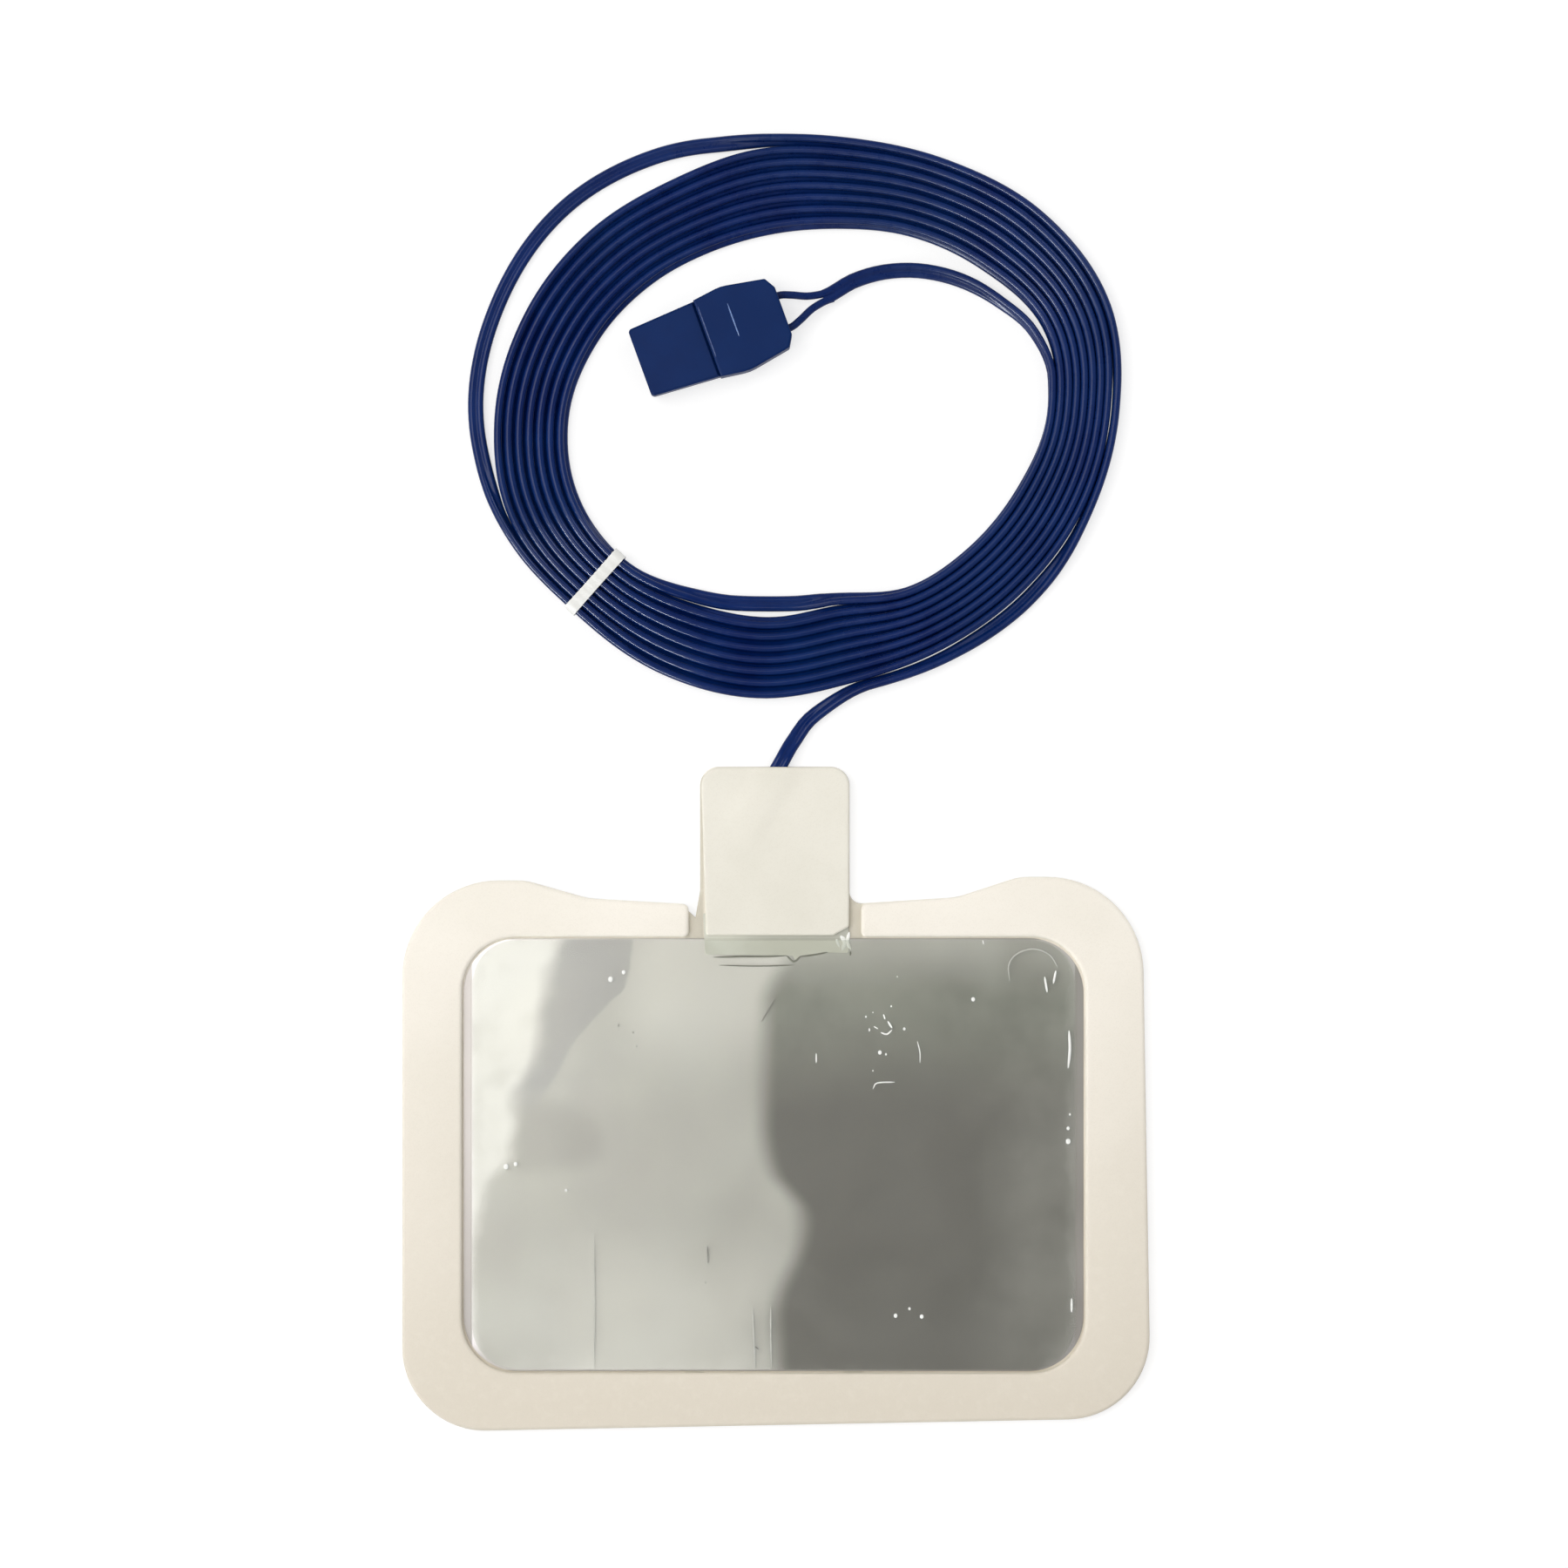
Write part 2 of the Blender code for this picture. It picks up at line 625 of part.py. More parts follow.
def core_legs(surface):
    """The two single cores between the split and the plug."""
    start = -GRIP_LENGTH - SPLIT_LENGTH + 2 * GAP
    near = (CORE_DIAMETER + GAP) / 2
    far = LEG_SPACING / 2
    forwards = PLUG.to_3x3() @ Vector((1, 0, 0))
    line = (
        (start, near),
        (start + SPLIT_LENGTH * 0.35, near + (far - near) * 0.3),
        (start + SPLIT_LENGTH * 0.7, near + (far - near) * 0.8),
        (-GRIP_LENGTH, far),
        (-GRIP_LENGTH + LEG_INSET, far),
    )
    for name, side in (("core_leg_left", -1), ("core_leg_right", 1)):
        route = [PLUG @ Vector((u, side * v, 0)) for u, v in line]
        tube(name, smooth_route(route, LEG_STEP, forwards, forwards), CORE_DIAMETER, surface)


def grip_outline(wall=0.0, front=0.0):
    """The grip seen from above, inset by a wall and set back from the front."""
    half = GRIP_WIDTH / 2 - wall
    back = -GRIP_LENGTH + wall
    bulge = half + GRIP_BULGE
    middle = -GRIP_LENGTH * 0.36
    side = [
        (-front, half, 0),
        (middle, bulge, GRIP_LENGTH / 2),
        (back + GRIP_CHAMFER, half - GRIP_BULGE, GRIP_ROUNDING),
        (back, GRIP_BACK_WIDTH / 2 - wall, GRIP_ROUNDING),
    ]
    return rounded(side + [(x, -y, radius) for x, y, radius in reversed(side)])


def grip_shell(name, side, surface):
    """One half of the grip, with room for the contacts, the nose's neck and the two cores."""
    half = GRIP_THICKNESS / 2
    outline = grip_outline()
    steps = [(0, BOND / 2), (0, half - GRIP_ROUNDING), (GRIP_ROUNDING * 0.3, half - GRIP_ROUNDING * 0.3)]
    steps.append((GRIP_ROUNDING, half))
    obj = loft(name, [at_height(inset(outline, edge), side * z) for edge, z in steps])
    room = half - GRIP_WALL
    cavity = prism(f"{name}_cavity", grip_outline(GRIP_WALL, FRONT_WALL), -room, room)
    mouth_half = NECK_THICKNESS / 2 + GAP
    mouth_low = (-2 * FRONT_WALL, -NECK_WIDTH / 2 - GAP, -mouth_half)
    mouth = box(f"{name}_mouth", mouth_low, (FRONT_WALL, NECK_WIDTH / 2 + GAP, mouth_half))
    tools = [cavity, mouth]
    for where in (-1, 1):
        hole = bar(f"{name}_hole", CORE_DIAMETER / 2 + GAP, -LEG_INSET, LEG_INSET, where * LEG_SPACING / 2)
        hole.data.transform(Matrix.Translation((-GRIP_LENGTH, 0, 0)) @ Matrix.Rotation(math.pi / 2, 4, "Z"))
        tools.append(hole)
    for tool in tools:
        tool.matrix_world = PLUG
        combine(obj, tool)
    return finish(obj, surface, PLUG)


def plug_nose(surface):
    """The nose with its neck and flange, and a slot through it for each contact."""
    root = NOSE_ROOT_WIDTH / 2
    half = NOSE_WIDTH / 2
    tall = NOSE_THICKNESS / 2
    outline = rounded([
        (GAP, root, 0),
        (GAP, -root, 0),
        (NOSE_LENGTH, -half, NOSE_CORNER),
        (NOSE_LENGTH, half, NOSE_CORNER),
    ])
    steps = [(NOSE_ROUNDING, -tall), (0, -tall + NOSE_ROUNDING), (0, tall - NOSE_ROUNDING), (NOSE_ROUNDING, tall)]
    obj = loft("plug_nose", [at_height(inset(outline, edge), z) for edge, z in steps])
    neck_end = -FRONT_WALL - GAP
    neck_low = (neck_end - FLANGE_LENGTH, -NECK_WIDTH / 2, -NECK_THICKNESS / 2)
    neck = box("nose_neck", neck_low, (NOSE_LENGTH / 2, NECK_WIDTH / 2, NECK_THICKNESS / 2))
    flange_low = (neck_end - FLANGE_LENGTH, -FLANGE_WIDTH / 2, -NECK_THICKNESS / 2)
    flange = box("nose_flange", flange_low, (neck_end, FLANGE_WIDTH / 2, NECK_THICKNESS / 2))
    for piece in (neck, flange):
        piece.matrix_world = PLUG
        combine(obj, piece, "UNION")
    for side in (-1, 1):
        across = side * SLOT_SPACING / 2
        low = (-NOSE_LENGTH, across - CONTACT_SLOT_WIDTH / 2, -CONTACT_SLOT_HEIGHT / 2)
        high = (2 * NOSE_LENGTH, across + CONTACT_SLOT_WIDTH / 2, CONTACT_SLOT_HEIGHT / 2)
        slot = box("nose_slot", low, high)
        slot.matrix_world = PLUG
        combine(obj, slot)
    return finish(obj, surface, PLUG)


def contact(name, side, surface):
    """A stamped spring contact: a strip with a bow in the slot, and an open barrel round the core."""
    low = -CONTACT_SLOT_HEIGHT / 2 + GAP
    back = -GRIP_LENGTH + LEG_INSET - BARREL_LENGTH
    front = NOSE_LENGTH - CONTACT_SETBACK
    line = [(back, 0), (front - 2 * CONTACT_BOW * 0.9, 0), (front - CONTACT_BOW, CONTACT_RISE), (front, 0)]
    lower = [(u, low + rise) for u, rise in line]
    upper = [(u, z + CONTACT_THICKNESS) for u, z in lower]
    across = side * SLOT_SPACING / 2
    half = CONTACT_WIDTH / 2
    profile = lower + upper[::-1]
    obj = loft(name, [[(u, across + v, z) for u, z in profile] for v in (-half, half)])
    barrel = side * LEG_SPACING / 2
    clear = CORE_DIAMETER / 2 + GAP
    wall = clear + CONTACT_THICKNESS
    sleeve_low = (back, barrel - wall, low)
    sleeve = box(f"{name}_sleeve", sleeve_low, (back + BARREL_LENGTH + GAP, barrel + wall, CORE_DIAMETER / 4))
    groove_low = (back - GRIP_LENGTH, barrel - clear, low + CONTACT_THICKNESS)
    groove = box(f"{name}_groove", groove_low, (0, barrel + clear, GRIP_THICKNESS))
    for tool, operation in ((sleeve, "UNION"), (groove, "DIFFERENCE")):
        tool.matrix_world = PLUG
        combine(obj, tool, operation)
    return finish(obj, surface, PLUG)


def main():
    clear_scene()
    foam = material("foam", (238, 232, 219), 0.85)
    strip = material("cover foam", (238, 236, 222), 0.8)
    foil = material("foil", (176, 176, 172), 0.3, 1.0)
    gel = material("gel", (200, 205, 200), 0.15)
    film = material("clear film", (225, 228, 225), 0.1)
    insulation = material("cord sheath", (16, 36, 86), 0.4)
    moulding = material("plug plastic", (27, 48, 94), 0.45)
    copper = material("copper", (184, 115, 80), 0.35, 1.0)
    plating = material("plated contact", (200, 198, 190), 0.3, 1.0)
    paper = material("tie", (242, 242, 239), 0.6)
    backing_foam(foam)
    foam_frame(foam)
    foil_plate(foil)
    gel_pad(gel)
    release_liner(film)
    insulating_film(film)
    tab_cover(strip)
    cord_entry(insulation)
    conductors(copper)
    crimps(plating)
    cord_lead(insulation)
    cord_coil(insulation)
    cord_tail(insulation)
    core_legs(insulation)
    coil_tie(paper)
    grip_shell("plug_grip_top", 1, moulding)
    grip_shell("plug_grip_bottom", -1, moulding)
    plug_nose(moulding)
    contact("contact_left", -1, plating)
    contact("contact_right", 1, plating)


main()
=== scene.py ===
"""Looks of a disposable return electrode for electrosurgery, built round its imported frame.

Metres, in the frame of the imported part: the pad lies on z = 0, +Y runs from the pad to its tab and lead.
"""

import math
import random

import bmesh
import bpy
import numpy as np
from mathutils import Matrix, Vector, geometry, noise


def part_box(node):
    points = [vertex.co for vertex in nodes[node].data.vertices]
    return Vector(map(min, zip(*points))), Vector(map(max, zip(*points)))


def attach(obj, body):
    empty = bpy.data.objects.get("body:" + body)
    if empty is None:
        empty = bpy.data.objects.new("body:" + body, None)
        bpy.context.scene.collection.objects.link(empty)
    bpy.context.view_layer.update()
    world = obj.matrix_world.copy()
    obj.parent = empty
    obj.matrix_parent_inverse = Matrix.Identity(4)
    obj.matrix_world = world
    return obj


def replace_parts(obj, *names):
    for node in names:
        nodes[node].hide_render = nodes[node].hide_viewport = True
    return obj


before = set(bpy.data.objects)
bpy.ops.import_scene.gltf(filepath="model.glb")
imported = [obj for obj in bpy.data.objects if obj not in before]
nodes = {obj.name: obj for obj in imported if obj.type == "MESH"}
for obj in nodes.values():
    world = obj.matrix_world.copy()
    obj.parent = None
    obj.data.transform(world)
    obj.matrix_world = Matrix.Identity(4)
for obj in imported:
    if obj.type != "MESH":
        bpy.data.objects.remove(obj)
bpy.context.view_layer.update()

# Photograph: its centre in the part's frame, how much of the table it covers, and where its pixels lie
VIEW_CENTRE = (0.00205, 0.0706)
VIEW_WIDTH = 0.351
CAMERA_HEIGHT = 1.4
FOCUS_HEIGHT = 0.002
SENSOR_WIDTH = 36
PIXEL = 0.000195
ORIGIN_PIXEL = (889.5, 1262)

# Foam outline, as in the part's source
PAD_WIDTH = 0.1676
PAD_OFFSET = 0.0004
PAD_TOP = 0.0745
PAD_BOTTOM = -0.0745
SHOULDER = 0.0437
TAB_WIDTH = 0.0335
TAB_RADIUS = 0.0043
TAB_FILLET = 0.0026
EAR_HEIGHT = 0.0061
EAR_DIFFERENCE = 0.0008
EAR_WIDTH = 0.0275
EAR_SLOPE = 0.0140
EAR_RADIUS = 0.0215
PAD_RADIUS = 0.0185
NOTCH_DEPTH = 0.0030
NOTCH_WIDTH = 0.0042
SIDE_LEAN = 0.0020
BOTTOM_RISE = 0.0032
SLOT_WIDTH = 0.0386
WINDOW_WIDTH = 0.1396
WINDOW_LENGTH = 0.0977
WINDOW_CENTRE = (-0.0003, -0.0124)
WINDOW_RADIUS = 0.0122
WINDOW_TOP = WINDOW_CENTRE[1] + WINDOW_LENGTH / 2
GEL_SIDE_MARGIN = 0.0024
GEL_END_MARGIN = 0.0008
LINER_OVERLAP = 0.0004
GEL_HALF = (WINDOW_WIDTH / 2 - GEL_SIDE_MARGIN, WINDOW_LENGTH / 2 - GEL_END_MARGIN)

# Heights of the layers, and of the marks on the two films
BASE_TOP = 0.0012
FOIL_BOTTOM = 0.00132
FOIL_TOP = 0.00140
PATCH_BOTTOM = 0.00152
PATCH_TOP = 0.00161
PATCH_MARKS = 0.00162
FRAME_BOTTOM = 0.0013
FRAME_TOP = 0.0029
GEL_BOTTOM = 0.0017
GEL_TOP = 0.0025
LINER_BOTTOM = 0.00262
LINER_TOP = 0.00272
LINER_MARKS = 0.00277
COVER_TOP = 0.0029

# Flat twin cord
CORE = 0.00175
WEB = 0.0009
CORD_WIDTH = 2 * CORE
ENTRY_X = 0.0009
ENTRY_LEAN = math.radians(30)
ENTRY_LENGTH = 0.0100
CORD_AXIS = 0.002175
ENTRY = Matrix.Translation((ENTRY_X, PAD_TOP, CORD_AXIS)) @ Matrix.Rotation(-ENTRY_LEAN, 4, "Z")
ENTRY_END = CORD_WIDTH / 2 * math.tan(ENTRY_LEAN) + 0.0003

# Coil, as in the part's source
COIL_CENTRE = (0.0069, 0.1535)
COIL_START = 278
COIL_TURNS = 8.2556
COIL_EDGE = (
    0.0686, 0.0708, 0.0681, 0.0637, 0.0611, 0.0615, 0.0617, 0.0649, 0.0683,
    0.0712, 0.0721, 0.0680, 0.0664, 0.0645, 0.0611, 0.0611, 0.0630, 0.0659,
)
COIL_PITCH = (
    0.00177, 0.00196, 0.00234, 0.00238, 0.00254, 0.00274, 0.00260, 0.00259, 0.00249,
    0.00235, 0.00230, 0.00205, 0.00249, 0.00262, 0.00251, 0.00200, 0.00195, 0.00193,
)
FIRST_SLACK = (
    0.0002, 0.0002, 0, 0, 0, 0.0006, 0.0056, 0.0070, 0.0058,
    0.0038, 0.0003, 0, 0, 0, 0, 0.0009, 0.0016, 0.0002,
)
LAST_SLACK = (0, 0, 0, 0, 0, 0, 0, 0, 0, 0, 0, 0, 0.0008, 0.0022, 0.0002, 0, 0, 0)
COIL_REST = 0.00004
COIL_UNEVEN = 0.00022
TIE_ANGLE = 218.5
TIE_WIDTH = 0.0029
TIE_THICKNESS = 0.00022
TIE_LIFT = 0.00036
TIE_LIFT_DEGREES = 16
LEAD_ROUTE = ((0.0042, 0.0802), (0.0091, 0.0862))
TAIL_ROUTE = (
    (0.0578, 0.1720), (0.0503, 0.1786), (0.0424, 0.1831),
    (0.0338, 0.1854), (0.0254, 0.1854), (0.0178, 0.1833),
)

# Plug
PLUG_AXIS = 0.004
PLUG = Matrix.Translation((-0.0149, 0.1700, PLUG_AXIS)) @ Matrix.Rotation(math.radians(200), 4, "Z")
GRIP_LENGTH = 0.0179
GRIP_WIDTH = 0.0181
GRIP_BULGE = 0.0009
GRIP_BACK_WIDTH = 0.0112
GRIP_CHAMFER = 0.0015
LEG_SPACING = 0.0077
LEG_INSET = 0.0058
SPLIT_LENGTH = 0.0095

# Foil's painted reflections: how far up their lines are given, where the lines on its left lie, and a grey
# patch of painted reflection
FOIL_SPAN = (-0.0613, 0.0365)
LEFT_LINES = (0.040, -0.070)
GREY_REFLECTION = (-0.0525, -0.0085)
GREY_REFLECTION_SIZE = (0.013, 0.009)

# Table
TABLE_HALF = 3.0
TABLE_DROP = 0.0002


# Outlines

def rounded(corners, step=math.radians(5)):
    """A closed outline, run counter-clockwise, from corners given as x, y and fillet radius."""
    points = []
    for i, (x, y, radius) in enumerate(corners):
        here = Vector((x, y))
        before = (Vector(corners[i - 1][:2]) - here).normalized()
        after = (Vector(corners[(i + 1) % len(corners)][:2]) - here).normalized()
        turn = math.pi - before.angle(after)
        if radius == 0:
            points.append(here)
            continue
        start = here + before * radius * math.tan(turn / 2)
        middle = here + (before + after).normalized() * radius / math.cos(turn / 2)
        side = 1 if before.x * after.y - before.y * after.x < 0 else -1
        steps = max(1, round(turn / step))
        for k in range(steps + 1):
            points.append(middle + Matrix.Rotation(side * turn * k / steps, 2) @ (start - middle))
    return [tuple(point) for point in points]


def rectangle(centre, width, length, radius):
    x, y = centre
    corners = ((1, 1), (-1, 1), (-1, -1), (1, -1))
    return rounded([(x + a * width / 2, y + b * length / 2, radius) for a, b in corners])


def ear_corners(side, end):
    outer = PAD_WIDTH / 2 + side * PAD_OFFSET - (SIDE_LEAN if side > 0 else 0)
    height = EAR_HEIGHT if side > 0 else EAR_HEIGHT - EAR_DIFFERENCE
    inner = outer - EAR_WIDTH
    return [
        (side * outer, SHOULDER + height, EAR_RADIUS),
        (side * inner, SHOULDER + height, EAR_SLOPE),
        (side * (inner - EAR_SLOPE), SHOULDER + height / 4, EAR_SLOPE),
        (side * end, SHOULDER, 0),
    ]


def body_corners(left_end, right_end):
    half = PAD_WIDTH / 2
    bottom = [
        (PAD_OFFSET - half, PAD_BOTTOM, PAD_RADIUS),
        (PAD_OFFSET + half, PAD_BOTTOM + BOTTOM_RISE, PAD_RADIUS),
    ]
    return ear_corners(-1, left_end)[::-1] + bottom + ear_corners(1, right_end)


def backing_outline():
    half = TAB_WIDTH / 2
    notch = (-half - NOTCH_WIDTH / 4, SHOULDER - NOTCH_DEPTH, 0)
    body = body_corners(half + NOTCH_WIDTH, half)
    body[-1] = (half, SHOULDER, TAB_FILLET)
    tab = [
        (half, PAD_TOP, TAB_RADIUS),
        (-half, PAD_TOP, TAB_RADIUS),
        (-half, SHOULDER + NOTCH_DEPTH, TAB_FILLET),
        notch,
    ]
    return rounded(body + tab)


def frame_outline():
    """The border as one outline: round the pad, then back round the window."""
    half = SLOT_WIDTH / 2
    body = body_corners(half, half)
    body[0] = (*body[0][:2], 0.0014)
    body[-1] = (*body[-1][:2], 0.0014)
    x, y = WINDOW_CENTRE
    right, left = x + WINDOW_WIDTH / 2, x - WINDOW_WIDTH / 2
    top, low = y + WINDOW_LENGTH / 2, y - WINDOW_LENGTH / 2
    window = [
        (half, top, 0.0011),
        (right, top, WINDOW_RADIUS),
        (right, low, WINDOW_RADIUS),
        (left, low, WINDOW_RADIUS),
        (left, top, WINDOW_RADIUS),
        (-half, top, 0.0011),
    ]
    return rounded(body + window)


def dense(outline, step):
    """The closed outline with its points no further apart than a step."""
    points = []
    for a, b in zip(outline, outline[1:] + outline[:1]):
        a, b = Vector(a), Vector(b)
        count = max(1, math.ceil((b - a).length / step))
        points += [tuple(a.lerp(b, k / count)) for k in range(count)]
    return points


def inset(outline, distance):
    """The outline moved inwards by a distance."""
    points = np.array(outline)
    before = points - np.roll(points, 1, 0)
    after = np.roll(points, -1, 0) - points
    before /= np.linalg.norm(before, axis=1)[:, None]
    after /= np.linalg.norm(after, axis=1)[:, None]
    along = before + after
    along /= np.linalg.norm(along, axis=1)[:, None]
    inwards = np.stack((-along[:, 1], along[:, 0]), 1)
    return points + inwards * distance / np.maximum((along * after).sum(1), 0.5)[:, None]


def inside(points, loop):
    """Whether each point is inside the closed loop."""
    x, y = points[:, 0][:, None], points[:, 1][:, None]
    a, b = loop, np.roll(loop, -1, 0)
    crosses = (a[:, 1] > y) != (b[:, 1] > y)
    rise = np.where(b[:, 1] == a[:, 1], 1e-12, b[:, 1] - a[:, 1])
    left = x < (b[:, 0] - a[:, 0]) * (y - a[:, 1]) / rise + a[:, 0]
    return (crosses & left).sum(1) % 2 == 1


def edge_distance(points, loop):
    """How far each point is from the closed loop."""
    a, b = loop, np.roll(loop, -1, 0)
    best = np.full(len(points), 1.0)
    for start, end in zip(a, b):
        along = end - start
        share = np.clip((points - start) @ along / max(along @ along, 1e-18), 0, 1)
        best = np.minimum(best, np.linalg.norm(points - start - share[:, None] * along, axis=1))
    return best


def waves(points, scale, seed):
    """Smooth noise from about -1 to 1 over points in the plane."""
    return np.array([noise.noise(Vector((x / scale, y / scale, seed))) for x, y in points])


def smooth(value):
    share = np.clip(value, 0, 1)
    return share * share * (3 - 2 * share)


# Meshes

def piece(name, bm, surface, smooth_angle):
    """An object from a mesh, shaded smooth up to an angle, that rides with the part."""
    bmesh.ops.recalc_face_normals(bm, faces=bm.faces)
    mesh = bpy.data.meshes.new(name)
    bm.to_mesh(mesh)
    bm.free()
    mesh.shade_smooth()
    mesh.set_sharp_from_angle(angle=math.radians(smooth_angle))
    obj = bpy.data.objects.new(name, mesh)
    bpy.context.scene.collection.objects.link(obj)
    mesh.materials.append(surface)
    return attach(obj, "root")


def bridge(bm, loops):
    """Faces from each closed loop of vertices to the next."""
    for lower, upper in zip(loops, loops[1:]):
        for i in range(len(lower)):
            j = (i + 1) % len(lower)
            bm.faces.new((lower[i], lower[j], upper[j], upper[i]))


def loft(rings, bm=None):
    """A closed skin over rings of points, in a new mesh or added to one."""
    if bm is None:
        bm = bmesh.new()
    loops = [[bm.verts.new(point) for point in ring] for ring in rings]
    bridge(bm, loops)
    bm.faces.new(loops[0])
    bm.faces.new(loops[-1])
    return bm


def quarter(rim, steps):
    """A round edge: how far in and how far down it is at each step."""
    angles = [math.radians(90 * k / steps) for k in range(steps + 1)]
    return [(rim * (1 - math.cos(angle)), rim * (1 - math.sin(angle))) for angle in angles]


def arch(half, height, steps):
    """The half-round section of a ridge, as places across and up."""
    angles = [math.pi * k / steps for k in range(steps + 1)]
    return [(half * math.cos(angle), height * math.sin(angle)) for angle in angles]


def swell(share, start, rate):
    """How full a ridge is at a share of its length, as it thins out at both ends."""
    return math.sin(math.pi * min(1, start + rate * min(share, 1 - share)) / 2)


def slab(outline, top, bottom, grid, rim, foot=0.0002):
    """A soft sheet between two surfaces, with a round upper rim and a small round foot."""
    bm = bmesh.new()
    steps = [(foot, 0, 0.0), (0.3 * foot, 0, 0.3 * foot), (0.0, 0, foot)]
    steps += [(distance, 1, off) for distance, off in quarter(rim, 5)]
    steps.append((rim * 1.15, 1, 0.0))
    loops = []
    for distance, upper, off in steps:
        ring = inset(outline, distance)
        height = top(ring) - off if upper else bottom(ring) + off
        loops.append([bm.verts.new((x, y, z)) for (x, y), z in zip(ring, height)])
    bridge(bm, loops)
    # Points inside the rims, in shaken rows, that both faces are triangulated through
    inner = np.array([v.co[:2] for v in loops[-1]])
    low, high = inner.min(0), inner.max(0)
    picks = random.Random(1.0)
    spots = []
    y = low[1] + grid / 2
    shift = 0
    while y < high[1]:
        x = low[0] + grid * (0.25 + 0.5 * shift)
        while x < high[0]:
            spots.append((x + picks.uniform(-0.1, 0.1) * grid, y + picks.uniform(-0.1, 0.1) * grid))
            x += grid
        y += grid * 0.87
        shift = 1 - shift
    spots = np.array(spots).reshape(-1, 2)
    if len(spots):
        spots = spots[inside(spots, inner)]
    if len(spots):
        spots = spots[edge_distance(spots, inner) > 0.45 * grid]
    edges = [(i, (i + 1) % len(outline)) for i in range(len(outline))]
    for loop, height in ((loops[-1], top), (loops[0], bottom)):
        extra = [bm.verts.new((x, y, z)) for (x, y), z in zip(spots, height(spots))] if len(spots) else []
        owners = loop + extra
        plan = [Vector(v.co[:2]) * 1000 for v in owners]
        _, _, faces, origins, _, _ = geometry.delaunay_2d_cdt(plan, edges, [], 1, 1e-5)
        for face in faces:
            bm.faces.new([owners[origins[i][0]] for i in face])
    return bm


def flat(height):
    return lambda points: np.full(len(points), float(height))


def wavy(height, rise, scale, seed):
    """A level surface with smooth waves."""
    return lambda points: height + rise * waves(points, scale, seed)


def through(a, b, c, d, t):
    """A share of the way from b to c on the smooth curve through four points or numbers."""
    bend, twist = 2 * a - 5 * b + 4 * c - d, 3 * b - a - 3 * c + d
    return (2 * b + (c - a) * t + bend * t**2 + twist * t**3) / 2


def catmull(points, per_span, start_aim=None, end_aim=None):
    """Points on a smooth curve through rows of numbers, which leaves and ends in the aimed directions."""
    rows = np.array(points, float)
    first, last = 2 * rows[0] - rows[1], 2 * rows[-1] - rows[-2]
    if start_aim is not None:
        first[:3] = rows[1][:3] - 2 * np.linalg.norm(rows[1][:3] - rows[0][:3]) * np.array(start_aim)
    if end_aim is not None:
        last[:3] = rows[-2][:3] + 2 * np.linalg.norm(rows[-1][:3] - rows[-2][:3]) * np.array(end_aim)
    rows = np.vstack((first, rows, last))
    out = []
    for four in zip(rows, rows[1:], rows[2:], rows[3:]):
        out += [through(*four, k / per_span) for k in range(per_span)]
    out.append(rows[-2])
    return np.array(out)


def even(rows, step):
    """Rows resampled so that their first three numbers are evenly spaced."""
    gaps = np.linalg.norm(np.diff(rows[:, :3], axis=0), axis=1)
    along = np.concatenate(([0], np.cumsum(gaps)))
    count = max(2, round(along[-1] / step))
    wanted = np.linspace(0, along[-1], count + 1)
    return np.stack([np.interp(wanted, along, column) for column in rows.T], 1)


def sweep(path, rolls, section):
    """A closed tube whose section lies across the path, rolled at each point."""
    bm = bmesh.new()
    along = np.gradient(path, axis=0)
    along /= np.linalg.norm(along, axis=1)[:, None]
    side = np.cross(along, (0, 0, 1))
    side /= np.linalg.norm(side, axis=1)[:, None]
    up = np.cross(side, along)
    loops = []
    for point, s, u, roll in zip(path, side, up, rolls):
        a, b = math.cos(roll) * s + math.sin(roll) * u, math.cos(roll) * u - math.sin(roll) * s
        loops.append([bm.verts.new(point + x * a + y * b) for x, y in section])
    bridge(bm, loops)
    for loop in (loops[0], loops[-1]):
        middle = bm.verts.new(sum((v.co for v in loop), Vector()) / len(loop))
        for first, second in zip(loop, loop[1:] + loop[:1]):
            bm.faces.new((first, second, middle))
    return bm


def circle(radius, count):
    angles = [2 * math.pi * k / count for k in range(count)]
    return [(radius * math.cos(angle), radius * math.sin(angle)) for angle in angles]


# Materials

def linear(byte):
    share = byte / 255
    return share / 12.92 if share <= 0.04045 else ((share + 0.055) / 1.055) ** 2.4


def paint(*colour):
    """A colour in screen bytes as the shader takes it."""
    return (*map(linear, colour), 1)


class Nodes:
    """The nodes of a material or a world, wired up call by call."""

    def __init__(self, owner):
        owner.use_nodes = True
        self.tree = owner.node_tree

    def feed(self, socket, value):
        if isinstance(value, bpy.types.NodeSocket):
            self.tree.links.new(value, socket)
        else:
            socket.default_value = value

    def add(self, kind, values=(), **settings):
        made = self.tree.nodes.new(kind)
        for key, value in settings.items():
            setattr(made, key, value)
        for key, value in dict(values).items():
            self.feed(made.inputs[key], value)
        return made

    def math(self, operation, a, b=0.0, c=0.0):
        return self.add("ShaderNodeMath", {0: a, 1: b, 2: c}, operation=operation).outputs[0]

    def times(self, a, b):
        return self.math("MULTIPLY", a, b)

    def minus(self, a, b):
        return self.math("SUBTRACT", a, b)

    def fade(self, value, low, high, start=0.0, end=1.0):
        """A smooth step from start to end as the value goes from low to high."""
        values = {"Value": value, "From Min": low, "From Max": high, "To Min": start, "To Max": end}
        return self.add("ShaderNodeMapRange", values, interpolation_type="SMOOTHSTEP").outputs["Result"]

    def blend(self, share, first, second):
        """A share of the second shader over the first."""
        return self.add("ShaderNodeMixShader", {0: share, 1: first, 2: second}).outputs[0]


